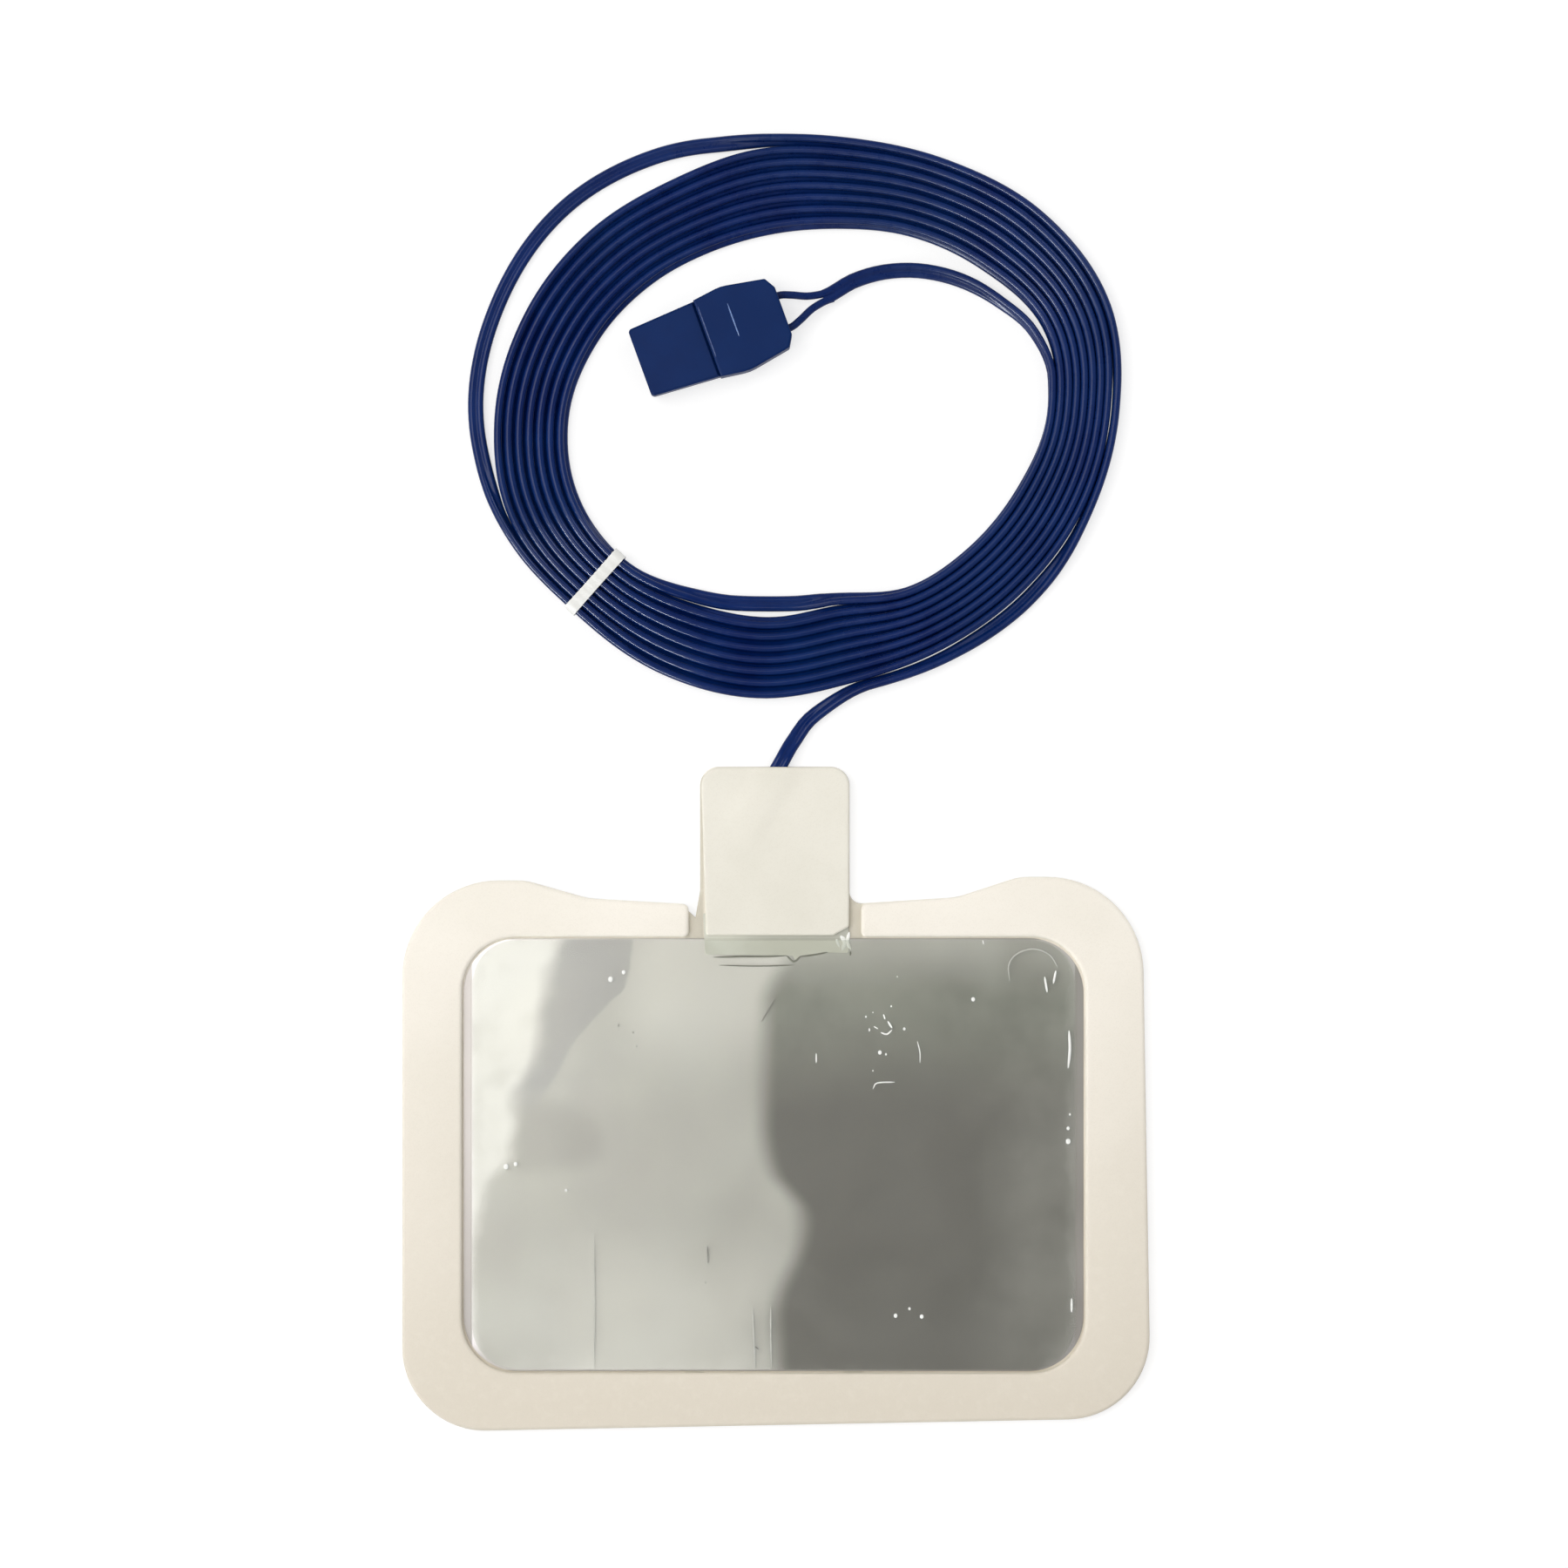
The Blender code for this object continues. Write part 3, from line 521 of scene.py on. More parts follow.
class Surface(Nodes):
    """A material round the plain shader, with patterns in the object's own place."""

    def __init__(self, name, **values):
        self.material = bpy.data.materials.new(name)
        super().__init__(self.material)
        self.shader = self.tree.nodes["Principled BSDF"]
        self.place = self.add("ShaderNodeTexCoord").outputs["Object"]
        for key, value in values.items():
            self.set(key.replace("_", " ").title().replace("Ior", "IOR"), value)

    def set(self, name, value):
        self.feed(self.shader.inputs[name], value)

    def noise(self, size, detail, roughness=0.5, distortion=0.0):
        """Noise whose features are about so many metres across."""
        values = {"Vector": self.place, "Scale": 1 / size, "Detail": detail}
        values.update({"Roughness": roughness, "Distortion": distortion})
        return self.add("ShaderNodeTexNoise", values).outputs["Fac"]

    def cells(self, size):
        values = {"Vector": self.place, "Scale": 1 / size}
        return self.add("ShaderNodeTexVoronoi", values).outputs["Distance"]

    def fade_line(self, value, low, high):
        values = {"Value": value, "From Min": low, "From Max": high}
        return self.add("ShaderNodeMapRange", values).outputs["Result"]

    def mix(self, share, a, b):
        return self.add("ShaderNodeMix", {0: share, 6: a, 7: b}, data_type="RGBA").outputs[2]

    def axis(self, name):
        return self.add("ShaderNodeSeparateXYZ", {"Vector": self.place}).outputs[name]

    def bump(self, height, distance, strength, normal=None):
        values = {"Height": height, "Distance": distance, "Strength": strength}
        if normal is not None:
            values["Normal"] = normal
        return self.add("ShaderNodeBump", values).outputs["Normal"]

    def ramp(self, value, low, high, levels):
        """A smooth curve through numbers at places 0 to 1 between low and high."""
        made = self.add("ShaderNodeValToRGB", {"Fac": self.fade_line(value, low, high)})
        stops = made.color_ramp
        stops.interpolation = "B_SPLINE"
        stops.elements[0].position, stops.elements[1].position = levels[0][0], levels[-1][0]
        for place, _level in levels[1:-1]:
            stops.elements.new(place)
        for stop, (_place, level) in zip(stops.elements, levels):
            stop.color = (level, level, level, 1)
        return made.outputs["Color"]


def foam_surface(name, light, deep, low, cell):
    """Closed-cell foam: tiny cells, faint clouds, a soft sheen and painted shade towards the bottom."""
    made = Surface(name, roughness=0.82, sheen_weight=0.12, sheen_roughness=0.5, specular_ior_level=0.3)
    clouds = made.noise(0.030, 3)
    fine = made.noise(0.0022, 3, 0.6)
    tone = made.mix(made.fade(clouds, 0.3, 0.7), paint(*light), paint(*deep))
    # Painted shade: the foam is darker towards the bottom, where less light falls
    painted_bottom_shade = made.fade_line(made.axis("Y"), 0.045, -0.068)
    tone = made.mix(made.times(painted_bottom_shade, 0.95), tone, paint(*low))
    # A shaded nook on each side of the tab, where the backing shows
    middle, half = -0.0002, 0.0178
    beside = made.math("ABSOLUTE", made.minus(made.axis("X"), middle))
    beside = made.math("ABSOLUTE", made.minus(beside, half))
    beside = made.fade(beside, 0.0016, 0.0027, 1.0, 0.0)
    nook = made.times(beside, made.fade(made.axis("Z"), 0.0013, 0.0014, 1.0, 0.0))
    tone = made.mix(made.times(nook, 0.85), tone, paint(203, 197, 181))
    speck = made.fade(made.cells(cell), 0.0, 0.55)
    hollow = made.times(made.minus(1.0, speck), 0.10)
    tone = made.mix(hollow, tone, paint(205, 198, 182))
    mottled = made.times(made.fade(fine, 0.45, 0.75), 0.12)
    made.set("Base Color", made.mix(mottled, tone, paint(*deep)))
    made.set("Roughness", made.fade(fine, 0.2, 0.8, 0.76, 0.9))
    rough = made.bump(speck, 0.00003, 0.5)
    made.set("Normal", made.bump(made.noise(0.004, 2), 0.00008, 0.5, rough))
    return made.material


def sheath_surface(name, dark, light, roughness, gloss, dull=0.0):
    """Soft vinyl: a deep colour that drifts, an uneven gloss, and a duller skin away from the tie."""
    made = Surface(name, roughness=roughness, specular_ior_level=gloss)
    clouds = made.fade(made.noise(0.012, 3, 0.6), 0.3, 0.7)
    tone = made.mix(clouds, paint(*dark), paint(*light))
    drift = made.fade(made.noise(0.035, 2), 0.4, 0.65, 0.0, 0.45)
    made.set("Base Color", made.mix(drift, tone, paint(6, 40, 92)))
    # How far a place is from the coil's centre towards the tie
    angle = math.radians(TIE_ANGLE)
    aim = (math.cos(angle), math.sin(angle))
    parts = [
        made.math("MULTIPLY_ADD", made.axis(axis), share, -centre * share)
        for axis, share, centre in zip("XY", aim, COIL_CENTRE)
    ]
    worn = made.fade(made.math("ADD", *parts), 0.012, 0.036, dull, 0.0)
    fine = made.fade(made.noise(0.003, 3, 0.6), 0.25, 0.75, roughness - 0.03, roughness + 0.1)
    made.set("Roughness", made.math("ADD", fine, worn))
    made.set("Normal", made.bump(made.noise(0.0011, 3, 0.6), 0.000005, 0.3))
    return made.material


def foil_surface():
    """Aluminium foil with painted reflections: bright along its left side, silver, and a dull grey painted
    reflection over its right half.
    """
    made = Surface("foil", metallic=0.55, specular_ior_level=0.5)
    x, y = made.axis("X"), made.axis("Y")
    drift = made.math("MULTIPLY_ADD", made.noise(0.030, 3, 0.5), 0.020, -0.010)
    moved = made.math("ADD", x, drift)
    ragged = made.math("MULTIPLY_ADD", made.noise(0.0065, 2), 0.0044, -0.0022)
    # The wandering line where the painted dark reflection over the right half starts
    edge = made.ramp(y, *FOIL_SPAN, (
        (0.0, 0.58), (0.12, 0.52), (0.20, 0.55), (0.28, 0.76), (0.38, 0.80), (0.45, 0.50),
        (0.56, 0.42), (0.86, 0.42), (0.93, 0.56), (1.0, 0.86),
    ))
    line = made.math("MULTIPLY_ADD", edge, 0.026, -0.0145)
    soft = made.math("MULTIPLY_ADD", drift, 0.12, x)
    right_side = made.fade(made.minus(soft, line), -0.0028, 0.0042)
    right_side = made.times(right_side, made.fade(y, 0.0215, 0.0395, 1.0, 0.35))
    # Silver left half, with paler painted reflections at its foot and head
    clouds = made.fade(made.noise(0.026, 3, 0.55), 0.34, 0.66)
    tone = made.mix(clouds, FOIL_LEFT, FOIL_MIDDLE)
    tone = made.mix(made.fade(x, -0.045, -0.005, 0.0, 0.5), tone, FOIL_MIDDLE)
    low_pale = made.fade(y, -0.050, -0.022, 1.0, 0.0)
    low_pale = made.times(low_pale, made.fade(moved, -0.012, 0.004, 1.0, 0.0))
    low_pale = made.times(low_pale, made.fade(moved, -0.056, -0.040, 0.25, 1.0))
    tone = made.mix(made.times(low_pale, 0.75), tone, FOIL_PALE)
    high_pale = made.times(made.fade(y, 0.002, 0.022), made.fade(x, -0.040, -0.024))
    tone = made.mix(made.times(high_pale, 0.7), tone, FOIL_PALE)
    # A grey patch of painted reflection on the left half
    reach = [
        made.math("MULTIPLY_ADD", value, 1 / size, -middle / size)
        for value, middle, size in zip((moved, y), GREY_REFLECTION, GREY_REFLECTION_SIZE)
    ]
    away = made.math("ADD", *(made.times(value, value) for value in reach))
    tone = made.mix(made.fade(away, 0.2, 1.3, 0.65, 0.0), tone, paint(176, 171, 170))
    # Painted white reflection along the left border, wide at the top, and painted shade on the fold beside
    # it
    border = made.ramp(y, *FOIL_SPAN, (
        (0.0, 0.07), (0.32, 0.10), (0.43, 0.14), (0.486, 0.33), (0.583, 0.34), (0.633, 0.315),
        (0.683, 0.3875), (0.757, 0.465), (0.83, 0.47), (0.914, 0.50), (0.978, 0.5725), (1.0, 0.6),
    ))
    border = made.math("MULTIPLY_ADD", border, *LEFT_LINES)
    past_border = made.minus(made.math("ADD", x, ragged), border)
    fold = made.ramp(y, *FOIL_SPAN, (
        (0.0, 0.30), (0.60, 0.40), (0.66, 0.51), (0.70, 0.5575), (0.757, 0.6275), (0.804, 0.7275),
        (0.854, 0.85), (0.878, 0.92), (0.928, 0.9425), (1.0, 0.9675),
    ))
    before_fold = made.minus(made.math("MULTIPLY_ADD", fold, *LEFT_LINES), x)
    wedge = made.times(made.fade(before_fold, -0.0004, 0.0010), made.fade(y, -0.005, 0.004))
    tone = made.mix(made.times(wedge, 0.9), tone, FOIL_WEDGE)
    rim = made.fade(past_border, -0.0038, 0.0014, 1.0, 0.0)
    reflection_clouds = made.fade(made.noise(0.010, 3, 0.6), 0.42, 0.68, 0.0, 0.75)
    tone = made.mix(rim, tone, made.mix(reflection_clouds, FOIL_WHITE, FOIL_PALE))
    # Painted dark grey reflection over the right half
    shade = made.mix(made.fade(x, 0.038, 0.066, 0.0, 0.8), FOIL_DARK, FOIL_RIGHT)
    shade = made.mix(made.fade(y, -0.006, 0.026), shade, FOIL_UPPER)
    dull = made.times(made.fade(made.noise(0.018, 4, 0.6), 0.35, 0.7), 0.35)
    shade = made.mix(dull, shade, paint(118, 115, 113))
    tone = made.mix(right_side, tone, shade)
    # Bare foil outside the gel, with painted shade and reflection that darken it towards the right and the
    # bottom
    past_gel = []
    for value, middle, half in zip((x, y), WINDOW_CENTRE, GEL_HALF):
        reach = made.math("ABSOLUTE", made.minus(value, middle))
        past_gel.append(made.minus(reach, half))
    bare = made.fade(made.math("MAXIMUM", *past_gel), -0.0001, 0.0003)
    band = made.mix(made.fade(x, -0.066, 0.0), FOIL_BAND_LEFT, FOIL_BAND_RIGHT)
    band = made.mix(made.fade(y, -0.050, 0.0, 0.6, 0.0), band, paint(148, 143, 139))
    tone = made.mix(bare, tone, band)
    made.set("Base Color", tone)
    made.set("Roughness", made.fade(made.noise(0.020, 3), 0.3, 0.7, 0.34, 0.44))
    wave = made.bump(made.noise(0.030, 2, 0.5, 0.3), 0.0003, 0.5)
    made.set("Normal", made.bump(made.noise(0.0045, 3, 0.6), 0.000012, 0.5, wave))
    return made.material


def clear_surface(name, tint, roughness, gloss, size):
    """A thin clear layer with faint ripples: light goes through, and its gloss grows at low angles."""
    made = Surface(name, metallic=1.0, roughness=roughness)
    normal = made.bump(made.noise(size, 3, 0.5), 0.00005, 0.4)
    clouds = made.fade(made.noise(0.02, 2), 0.3, 0.7)
    made.set("Base Color", made.mix(clouds, paint(245, 247, 244), (1, 1, 1, 1)))
    made.set("Normal", normal)
    through = made.add("ShaderNodeBsdfTransparent", {"Color": paint(*tint)}).outputs[0]
    slant = made.add("ShaderNodeLayerWeight", {"Blend": 0.5, "Normal": normal}).outputs["Facing"]
    share = made.math("MULTIPLY_ADD", made.math("POWER", slant, 5.0), 0.45, gloss)
    both = made.blend(share, through, made.shader.outputs[0])
    made.feed(made.tree.nodes["Material Output"].inputs["Surface"], both)
    return made.material


def plain_surface(name, first, second, roughness, size, metallic=0.0):
    """A fine-grained surface that wanders between two close colours."""
    made = Surface(name, metallic=metallic, roughness=roughness)
    made.set("Base Color", made.mix(made.fade(made.noise(size, 3), 0.3, 0.7), paint(*first), paint(*second)))
    made.set("Roughness", made.fade(made.noise(size / 3, 2), 0.3, 0.7, roughness - 0.06, roughness + 0.08))
    made.set("Normal", made.bump(made.noise(size / 6, 2), 0.00002, 0.4))
    return made.material


def film_surface():
    """Film over the foot of the tab, faintly crumpled, with painted shade: paler towards its left end,
    darker towards its right, and a painted shadow of the cover strip along its upper part.
    """
    made = Surface("insulating film", roughness=0.35)
    # Painted shade: paler towards the left end, darker towards the right
    ragged = made.times(made.noise(0.006, 2), 0.006)
    paler = made.fade(made.math("ADD", made.axis("X"), ragged), -0.009, 0.003)
    tone = made.mix(paler, paint(250, 249, 244), paint(232, 230, 222))
    tone = made.mix(made.fade(made.noise(0.004, 3), 0.3, 0.7, 0.0, 0.6), tone, paint(226, 224, 215))
    # Painted shadow of the cover strip over the film's upper part, paler to the left
    shaded = made.mix(paler, paint(212, 212, 200), paint(184, 184, 173))
    made.set("Base Color", made.mix(made.fade(made.axis("Y"), 0.0354, 0.0358), tone, shaded))
    made.set("Roughness", made.fade(made.noise(0.003, 2), 0.3, 0.7, 0.28, 0.44))
    made.set("Normal", made.bump(made.noise(0.0022, 3, 0.6), 0.00005, 0.5))
    return made.material


# Tones of the foil's painted reflections and painted shade; the foil itself is an even silver
FOIL_WHITE = paint(244, 239, 241)
FOIL_LEFT = paint(194, 189, 189)
FOIL_MIDDLE = paint(202, 198, 197)
FOIL_PALE = paint(228, 223, 223)
FOIL_WEDGE = paint(182, 178, 181)
FOIL_DARK = paint(127, 123, 122)
FOIL_UPPER = paint(160, 159, 155)
FOIL_RIGHT = paint(163, 159, 158)
FOIL_BAND_LEFT = paint(190, 184, 180)
FOIL_BAND_RIGHT = paint(146, 143, 138)
FOAM = foam_surface("foam", (251, 245, 234), (245, 239, 227), (221, 212, 196), 0.00042)
STRIP = foam_surface("cover foam", (238, 234, 222), (230, 226, 213), (232, 228, 215), 0.0005)
SHEATH = sheath_surface("cord sheath", (2, 27, 84), (6, 38, 98), 0.13, 0.2, 0.14)
MOULDING = sheath_surface("plug plastic", (6, 34, 84), (11, 40, 92), 0.4, 0.08)
FOIL = foil_surface()
GEL = clear_surface("gel", (249, 250, 248), 0.16, 0.006, 0.006)
LINER = clear_surface("clear film", (251, 251, 250), 0.12, 0.010, 0.010)
# Painted highlight: the rib is pale blue where light catches its ridge
RIB_HIGHLIGHT = plain_surface("painted rib highlight", (104, 132, 184), (88, 116, 170), 0.3, 0.002)
# Painted highlight: the step line is pale blue where light catches the grip's front edge
STEP_HIGHLIGHT = plain_surface("painted step highlight", (62, 84, 136), (50, 72, 124), 0.35, 0.002)
TIE = plain_surface("tie", (236, 236, 233), (230, 230, 226), 0.55, 0.003)
COPPER = plain_surface("copper", (190, 120, 84), (172, 104, 70), 0.32, 0.001, 1.0)
PLATING = plain_surface("plated contact", (206, 204, 196), (190, 188, 180), 0.28, 0.001, 1.0)
FILM = film_surface()
# Painted shade: faint grey lines along creases and round a dimple in the film
FAINT_SHADE_LINE = plain_surface("painted faint shade line", (190, 190, 182), (176, 176, 169), 0.3, 0.004)
# Painted glints: white spots and strokes on the clear film stand for highlights
PAINTED_GLINT = plain_surface("painted glint", (250, 250, 247), (240, 240, 236), 0.25, 0.002)
# Painted shade: dark grey lines along creases and along the film's edge
DARK_SHADE_LINE = plain_surface("painted dark shade line", (150, 149, 141), (134, 133, 126), 0.3, 0.004)


# Camera

camera = bpy.data.objects.new("camera", bpy.data.cameras.new("camera"))
bpy.context.scene.collection.objects.link(camera)
camera.location = (*VIEW_CENTRE, CAMERA_HEIGHT)
camera.data.sensor_width = SENSOR_WIDTH
camera.data.lens = SENSOR_WIDTH * (CAMERA_HEIGHT - FOCUS_HEIGHT) / VIEW_WIDTH
camera.data.clip_start = 0.01
camera.data.clip_end = 20
bpy.context.scene.camera = camera


# Cord

def round_table(values, degrees):
    """A smooth closed curve through values that are evenly spaced round the circle."""
    place = degrees % 360 / 360 * len(values)
    i, share = int(place), place - int(place)
    return through(*(values[(i + k) % len(values)] for k in (-1, 0, 1, 2)), share)


def coil_slack(turns):
    """How far the cord stands off its neighbours here."""
    degrees = COIL_START + 360 * turns
    outer = max(0, round_table(FIRST_SLACK, degrees)) if turns <= 1 else 0
    inner = max(0, round_table(LAST_SLACK, degrees)) if turns >= COIL_TURNS - 1 else 0
    return outer, inner


def coil_radius(turns, offset=0.0):
    degrees = COIL_START + 360 * turns
    outer, inner = coil_slack(turns)
    radius = round_table(COIL_EDGE, degrees) - (turns - 0.5 - offset) * round_table(COIL_PITCH, degrees)
    return radius + outer - inner


def coil_place(turns, radius):
    angle = math.radians(COIL_START + 360 * turns)
    return COIL_CENTRE[0] + radius * math.cos(angle), COIL_CENTRE[1] + radius * math.sin(angle)


def upright(roll):
    """Height of the cord's middle above what it rests on, for its roll from flat."""
    return CORE / 2 + CORE / 2 * abs(math.sin(roll))


def coil_rows():
    """Rows of x, y, z and roll along the coil."""
    rows = []
    steps = 72
    for k in range(int(COIL_TURNS * steps) + 1):
        turns = k / steps
        degrees = COIL_START + 360 * turns
        pitch = round_table(COIL_PITCH, degrees)
        outer, inner = coil_slack(turns)
        loose = float(max(smooth(outer / 0.0022), smooth(inner / 0.0016)))
        least = math.asin(min(1.0, max(0.0, (pitch - CORE) / CORE)))
        most = math.acos(min(1.0, 1.02 * CORE / pitch))
        wander = noise.noise(Vector((degrees / 40, 4.1, 0.0)))
        lean = least + (most - least) * (0.42 + 0.3 * wander)
        lean += (math.pi / 2 - lean) * loose
        roll = math.pi / 2 - lean
        width = CORE + CORE * abs(math.cos(roll))
        radius = coil_radius(turns)
        if loose > 0:
            side = 1 if outer >= inner else -1
            edge = coil_radius(turns, side * 0.5) - side * width / 2
            radius += (edge - radius) * loose
        apart = abs((degrees - TIE_ANGLE + 180) % 360 - 180)
        floor = COIL_REST + TIE_LIFT * math.exp(-(apart / TIE_LIFT_DEGREES) ** 2)
        floor += COIL_UNEVEN * (0.5 + noise.noise(Vector((turns * 3.7, 0.0, 7.7))))
        x, y = coil_place(turns, radius)
        rows.append((x, y, floor + upright(roll), roll))
    return rows


def direction(rows, first, second):
    aim = np.array(rows[second][:3]) - np.array(rows[first][:3])
    return aim / np.linalg.norm(aim)


def cord_rows():
    """Rows of x, y, z and roll from inside the tab, round the coil, to the split."""
    coil = coil_rows()
    entry = [(*(ENTRY @ Vector((0, v, 0))), 0.0) for v in (-ENTRY_LENGTH, 0.0, ENTRY_END)]
    lead = [entry[-1], (*LEAD_ROUTE[0], 0.00135, 0.10), (*LEAD_ROUTE[1], 0.00105, 0.45), coil[1]]
    heights = (0.00165, 0.00150, 0.00125, 0.00115, 0.00115, 0.00180)
    rolls = (1.25, 0.95, 0.55, 0.35, 0.25, 0.05)
    end = PLUG @ Vector((-GRIP_LENGTH - SPLIT_LENGTH, 0, 0))
    tail = [coil[-1]] + [(*place, z, roll) for place, z, roll in zip(TAIL_ROUTE, heights, rolls)]
    tail.append((end.x, end.y, 0.00305, 0.0))
    forwards = PLUG.to_3x3() @ Vector((1, 0, 0.10))
    runs = (
        catmull(entry, 4),
        catmull(lead, 10, direction(entry, 1, 2), direction(coil, 1, 2)),
        catmull(coil[1:], 3),
        catmull(tail, 12, direction(coil, -2, -1), forwards.normalized()),
    )
    return np.vstack([runs[0]] + [run[1:] for run in runs[1:]])


def twin_section(round_steps=11):
    """The cord's outline lying flat: two round cores joined by a thin web."""
    radius = CORE / 2
    waist = math.asin(WEB / CORE)
    points = []
    for side in (0, math.pi):
        for k in range(round_steps):
            angle = side + (math.pi - waist) * (2 * k / (round_steps - 1) - 1)
            centre = CORE / 2 * math.cos(side)
            points.append((centre + radius * math.cos(angle), radius * math.sin(angle)))
    return points


cord_line = even(cord_rows(), 0.0019)
cord_path, cord_roll = cord_line[:, :3], cord_line[:, 3]
cable = piece("cable", sweep(cord_path, cord_roll, twin_section()), SHEATH, 60)
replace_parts(cable, "cord_entry", "cord_lead", "cord_coil", "cord_tail")


def leg(name, side, node):
    """One core from the split into the plug's grip."""
    start = -GRIP_LENGTH - SPLIT_LENGTH
    line = (
        (start - 0.0020, CORE / 2, 0.00262), (start, CORE / 2, 0.00305),
        (start + SPLIT_LENGTH * 0.35, 0.00155, 0.00350), (start + SPLIT_LENGTH * 0.7, 0.0030, 0.00385),
        (-GRIP_LENGTH, LEG_SPACING / 2, PLUG_AXIS), (-GRIP_LENGTH + LEG_INSET, LEG_SPACING / 2, PLUG_AXIS),
    )
    rows = []
    for u, v, z in line:
        point = PLUG @ Vector((u, side * v, 0))
        rows.append((point.x, point.y, z))
    path = even(catmull(rows, 8), 0.0006)
    obj = piece(name, sweep(path, np.zeros(len(path)), circle(CORE / 2 * 0.985, 22)), SHEATH, 60)
    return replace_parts(obj, node)


leg_left = leg("leg_left", -1, "core_leg_left")
leg_right = leg("leg_right", 1, "core_leg_right")


# Tie

def tie_piece():
    """A flat band drawn round all the strands, with its overlap on top."""
    turns = 4 + (TIE_ANGLE - COIL_START) % 360 / 360
    middle = Vector(coil_place(turns, coil_radius(turns)))
    near = Vector(coil_place(turns + 0.01, coil_radius(turns + 0.01)))
    back = Vector(coil_place(turns - 0.01, coil_radius(turns - 0.01)))
    along = (near - back).normalized()
    across = Vector((along.y, -along.x))
    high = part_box("coil_tie")[1]
    corners = [Vector(v.co[:2]) - middle for v in nodes["coil_tie"].data.vertices]
    reach = [c.dot(across) for c in corners]
    margin = 0.00015
    inner, outer = min(reach) + margin, max(reach) - margin
    bottom, top, bend = margin, high.z - 0.00035, 0.0011
    outline = rounded([
        (outer, bottom, bend), (outer, top, bend), (inner, top, bend), (inner, bottom, bend),
    ], math.radians(12))
    outline = dense(outline, 0.0006)
    strand = round_table(COIL_PITCH, TIE_ANGLE)
    bm = bmesh.new()
    half = TIE_WIDTH / 2
    loops = []
    for thick in (0.0, TIE_THICKNESS):
        ring = inset(outline, -thick)
        for share in (-1.0, -0.93, -0.5, 0.0, 0.5, 0.93, 1.0):
            loop = []
            for a, z in ring:
                dip = 0.00010 * math.cos(2 * math.pi * a / strand) if z > PLUG_AXIS * 0.7 else 0.0
                pinch = 1 - 0.06 * math.cos(math.pi * (a - inner) / (outer - inner) - math.pi / 2)
                edge = 0.00004 * math.sin(a * 5200 + share * 9)
                place = middle + across * a + along * (share * half * pinch + edge * share)
                curl = 0.00008 * (1 - share * share)
                loop.append(bm.verts.new((place.x, place.y, z + dip + (curl if z > 0.003 else 0))))
            loops.append(loop)
    inner_loops, outer_loops = loops[:7], loops[7:]
    rims = [(inner_loops[k], outer_loops[k]) for k in (0, -1)]
    for band in (inner_loops, outer_loops, *rims):
        bridge(bm, band)
    obj = piece("tie_band", bm, TIE, 50)
    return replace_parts(obj, "coil_tie")


tie = tie_piece()


# Plug

def grip_outline():
    half = GRIP_WIDTH / 2
    side = [
        (0.00025, half, 0),
        (-GRIP_LENGTH * 0.36, half + GRIP_BULGE, GRIP_LENGTH / 2),
        (GRIP_CHAMFER - GRIP_LENGTH, half - GRIP_BULGE, 0.0006),
        (-GRIP_LENGTH, GRIP_BACK_WIDTH / 2, 0.0006),
    ]
    return rounded(side + [(x, -y, radius) for x, y, radius in reversed(side)], math.radians(8))


def grip_half(name, side, node):
    """One shell of the grip: round outer edges and a fine seam where the shells meet."""
    outline = dense(grip_outline(), 0.0012)
    half, gap, seam, rim = 0.0040, 0.00003, 0.00018, 0.0005
    steps = [(seam, gap), (seam * 0.3, gap + seam * 0.7), (0.0, gap + seam)]
    steps += [(distance, half - down) for distance, down in quarter(rim, 8)]
    steps.append((rim * 1.1, half))
    rings = []
    for distance, height in steps:
        rings.append([PLUG @ Vector((x, y, side * height)) for x, y in inset(outline, distance)])
    obj = piece(name, loft(rings), MOULDING, 35)
    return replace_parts(obj, node)


grip_top = grip_half("grip_top", 1, "plug_grip_top")
grip_bottom = grip_half("grip_bottom", -1, "plug_grip_bottom")


def rib(name, points, width, height, surface, base=0.00392):
    """A fine moulded ridge on the grip's top."""
    rings = []
    (u0, v0), (u1, v1) = points
    steps = 14
    for k in range(steps + 1):
        share = k / steps
        u, v = u0 + (u1 - u0) * share, v0 + (v1 - v0) * share
        full = swell(share, 0.08, 4)
        section = arch(width / 2 * full, height * full, 8)
        rings.append([PLUG @ Vector((u + across, v, base + up)) for across, up in section])
    obj = piece(name, loft(rings), surface, 50)
    return obj


RIB_U, STEP_U = -0.0067, -0.00028
# The rib on the grip carries a painted highlight
grip_rib = rib("grip_rib", ((RIB_U, -0.0062), (RIB_U, 0.0024)), 0.00036, 0.00022, RIB_HIGHLIGHT)
# The step line carries a painted highlight
step_line = rib("step_line", ((STEP_U, -0.0086), (STEP_U, 0.0058)), 0.0003, 0.0002, STEP_HIGHLIGHT, 0.00388)

bevel = nodes["plug_nose"].modifiers.new("soft edges", "BEVEL")
bevel.width = 0.00025
bevel.segments = 3
bevel.limit_method = "ANGLE"
bevel.angle_limit = math.radians(50)

for name, surface in (
    ("plug_nose", MOULDING), ("contact_left", PLATING), ("contact_right", PLATING), ("crimp_left", PLATING),
    ("crimp_right", PLATING), ("conductor_left", COPPER), ("conductor_right", COPPER),
):
    nodes[name].data.materials.clear()
    nodes[name].data.materials.append(surface)


# Pad

def layer(name, surface, outline, step, *shape):
    """A slab whose outline has its points a step apart."""
    return piece(name, slab(dense(outline, step), *shape), surface, 60)


def frame_top(points):
    outer = edge_distance(points, FRAME_LOOP)
    return FRAME_TOP - 0.00010 + 0.00022 * smooth(outer / 0.0055) + 0.00007 * waves(points, 0.022, 3.3)


